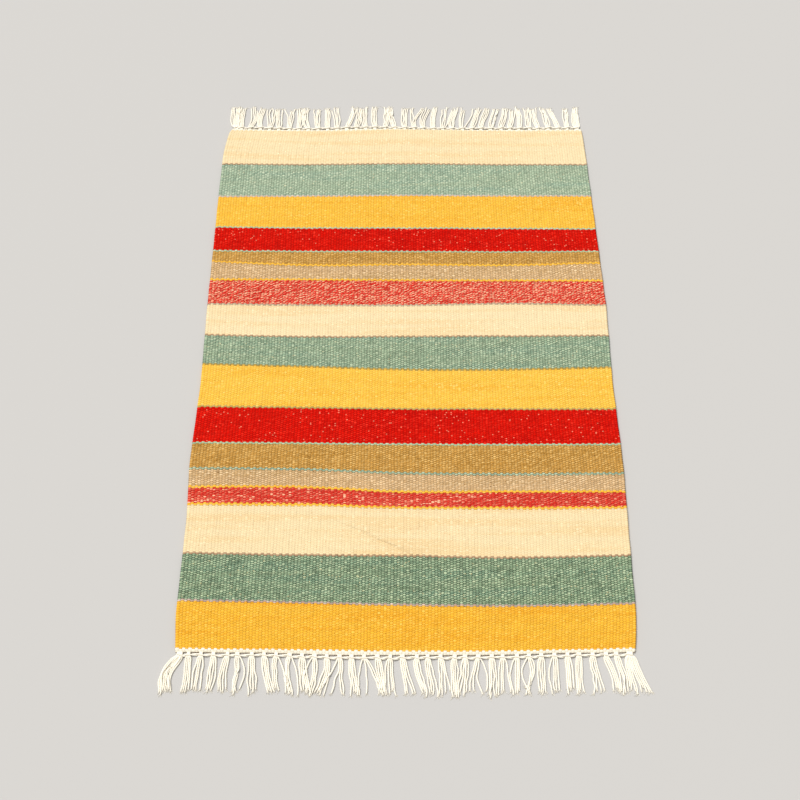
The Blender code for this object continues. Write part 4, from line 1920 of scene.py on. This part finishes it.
    def cord_piece(self) -> bpy.types.Object:
        """Makes the two twined cords that pass over and under each group of warps.

        Returns:
            The dressed piece.
        """
        end = self.groups - 1 + self.cord_end
        number = np.linspace(-self.cord_end, end, self.groups * self.cord_steps + 1)
        places = np.arange(-1, self.groups + 1)
        beyond = [self.centre[:1] - self.cord_overhang, self.centre, self.centre[-1:] + self.cord_overhang]
        x = np.interp(number, places, np.concatenate(beyond))
        gap = np.floor(number).astype(int) + 1
        pull = self.rng.uniform(*self.pull, self.groups + 1)[gap]
        slant = self.rng.uniform(*self.slant, self.groups + 1)[gap]
        between = 0.5 - 0.5 * np.cos(TAU * number)
        wobble = self.cord_wobble * np.sin(number * self.cord_wobble_turn)
        wobble = wobble + between * (self.sag - pull) + slant * np.sin(TAU * number)
        thick = self.cord_radius * (1 + self.cord_swell * between)
        lines = []
        for half in (0, 1):
            turn = math.pi * (number + half)
            rise = np.cos(turn) * (self.cord_radius + self.strand_radius * self.cord_grip)
            out = self.cord_out + np.sin(turn) * self.cord_depth * self.cord_radius + wobble
            lines.append(self.place(x, out, np.maximum(self.bundle_height + rise, thick)))
        cords = np.array(lines)
        radius = np.broadcast_to(thick, cords.shape[:2])
        panels = self.cord_panels
        tubes = Tubes(sides=8, cells=(2 * panels, 1))
        tubes.add(cords, radius, self.flat, phase=np.array(self.cord_phases), panels=panels)
        piece = tubes.parts.build(f"{self.name}_edge_cord", YARN_MAP, [self.palette.yarn])
        return self.palette.dress(piece, "cotton_yarn", f"{self.name}_fringe")

    def build(self) -> list[bpy.types.Object]:
        """Builds this end's strands and cords."""
        return [self.strand_piece(), self.cord_piece()]


# ------------------------------------------------------------------ the studio


@dataclass
class Studio:
    """The floor, the lights and the camera."""

    elevation: float = 60.65
    height: float = 1.421
    back: float = 0.8726
    aside: float = -0.0092
    lens: float = 49.9
    floor_colour: RGB = (0.50, 0.49, 0.475)
    key_from: tuple[float, float, float] = (-1.5, 0.8, 2.9)
    key_strength: float = 2.95
    key_softness: float = 28.0
    key_colour: RGB = (1.0, 0.985, 0.96)
    room_colour: RGB = (1.0, 0.99, 0.98)
    room_strength: float = 0.58

    def floor(self) -> None:
        """A plain pale floor."""
        half = 4.0
        corners = [(-half, -half, 0), (half, -half, 0), (half, half, 0), (-half, half, 0)]
        mesh = bpy.data.meshes.new("floor")
        mesh.from_pydata(corners, [], [(0, 1, 2, 3)])
        floor = bpy.data.objects.new("floor", mesh)
        material, graph = new_material("floor")
        shader = graph.tree.nodes["Principled BSDF"]
        shader.inputs["Base Color"].default_value = (*self.floor_colour, 1.0)
        shader.inputs["Roughness"].default_value = 0.9
        mesh.materials.append(material)
        bpy.context.scene.collection.objects.link(floor)

    def lights(self) -> None:
        """A broad soft light from high on the left, a little behind, and a pale room all round."""
        light = bpy.data.lights.new("key", "SUN")
        light.energy = self.key_strength
        light.angle = math.radians(self.key_softness)
        light.color = self.key_colour
        lamp = bpy.data.objects.new("key", light)
        lamp.rotation_mode = "QUATERNION"
        lamp.rotation_quaternion = (-Vector(self.key_from)).to_track_quat("-Z", "Y")
        lamp.location = self.key_from
        bpy.context.scene.collection.objects.link(lamp)
        world = bpy.data.worlds.new("room")
        world.use_nodes = True
        backdrop = world.node_tree.nodes["Background"]
        backdrop.inputs["Color"].default_value = (*self.room_colour, 1.0)
        backdrop.inputs["Strength"].default_value = self.room_strength
        bpy.context.scene.world = world
        bpy.context.scene.view_settings.view_transform = "Standard"

    def camera(self, outline: FieldOutline) -> None:
        """A camera at a standing viewer's height, looking down along the rug.

        Args:
            outline: the field's edges, whose middle it stands before.
        """
        data = bpy.data.cameras.new("camera")
        data.lens = self.lens
        data.clip_start = 0.01
        camera = bpy.data.objects.new("camera", data)
        camera.location = (outline.middle[0] + self.aside, outline.middle[1] - self.back, self.height)
        camera.rotation_euler = (math.radians(90 - self.elevation), 0, 0)
        bpy.context.scene.collection.objects.link(camera)
        bpy.context.scene.camera = camera


def main() -> None:
    """Builds and dresses the rug, then the studio round it."""
    logging.basicConfig(level=logging.INFO, format="%(name)s %(message)s")
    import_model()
    outline = FieldOutline()
    studio = Studio()
    studio.floor()
    studio.lights()
    studio.camera(outline)
    palette = Palette(Effects())
    fringes = {end: Fringe(end, outline, palette).build() for end in End}
    stripes = WovenField(outline, WeftPlan(outline), palette).build(fringes)
    for piece in [*fringes[End.NEAR], *fringes[End.FAR], *stripes]:
        LOG.info("%s: %d faces", piece.name, len(piece.data.polygons))
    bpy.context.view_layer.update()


if __name__ == "__main__":
    main()
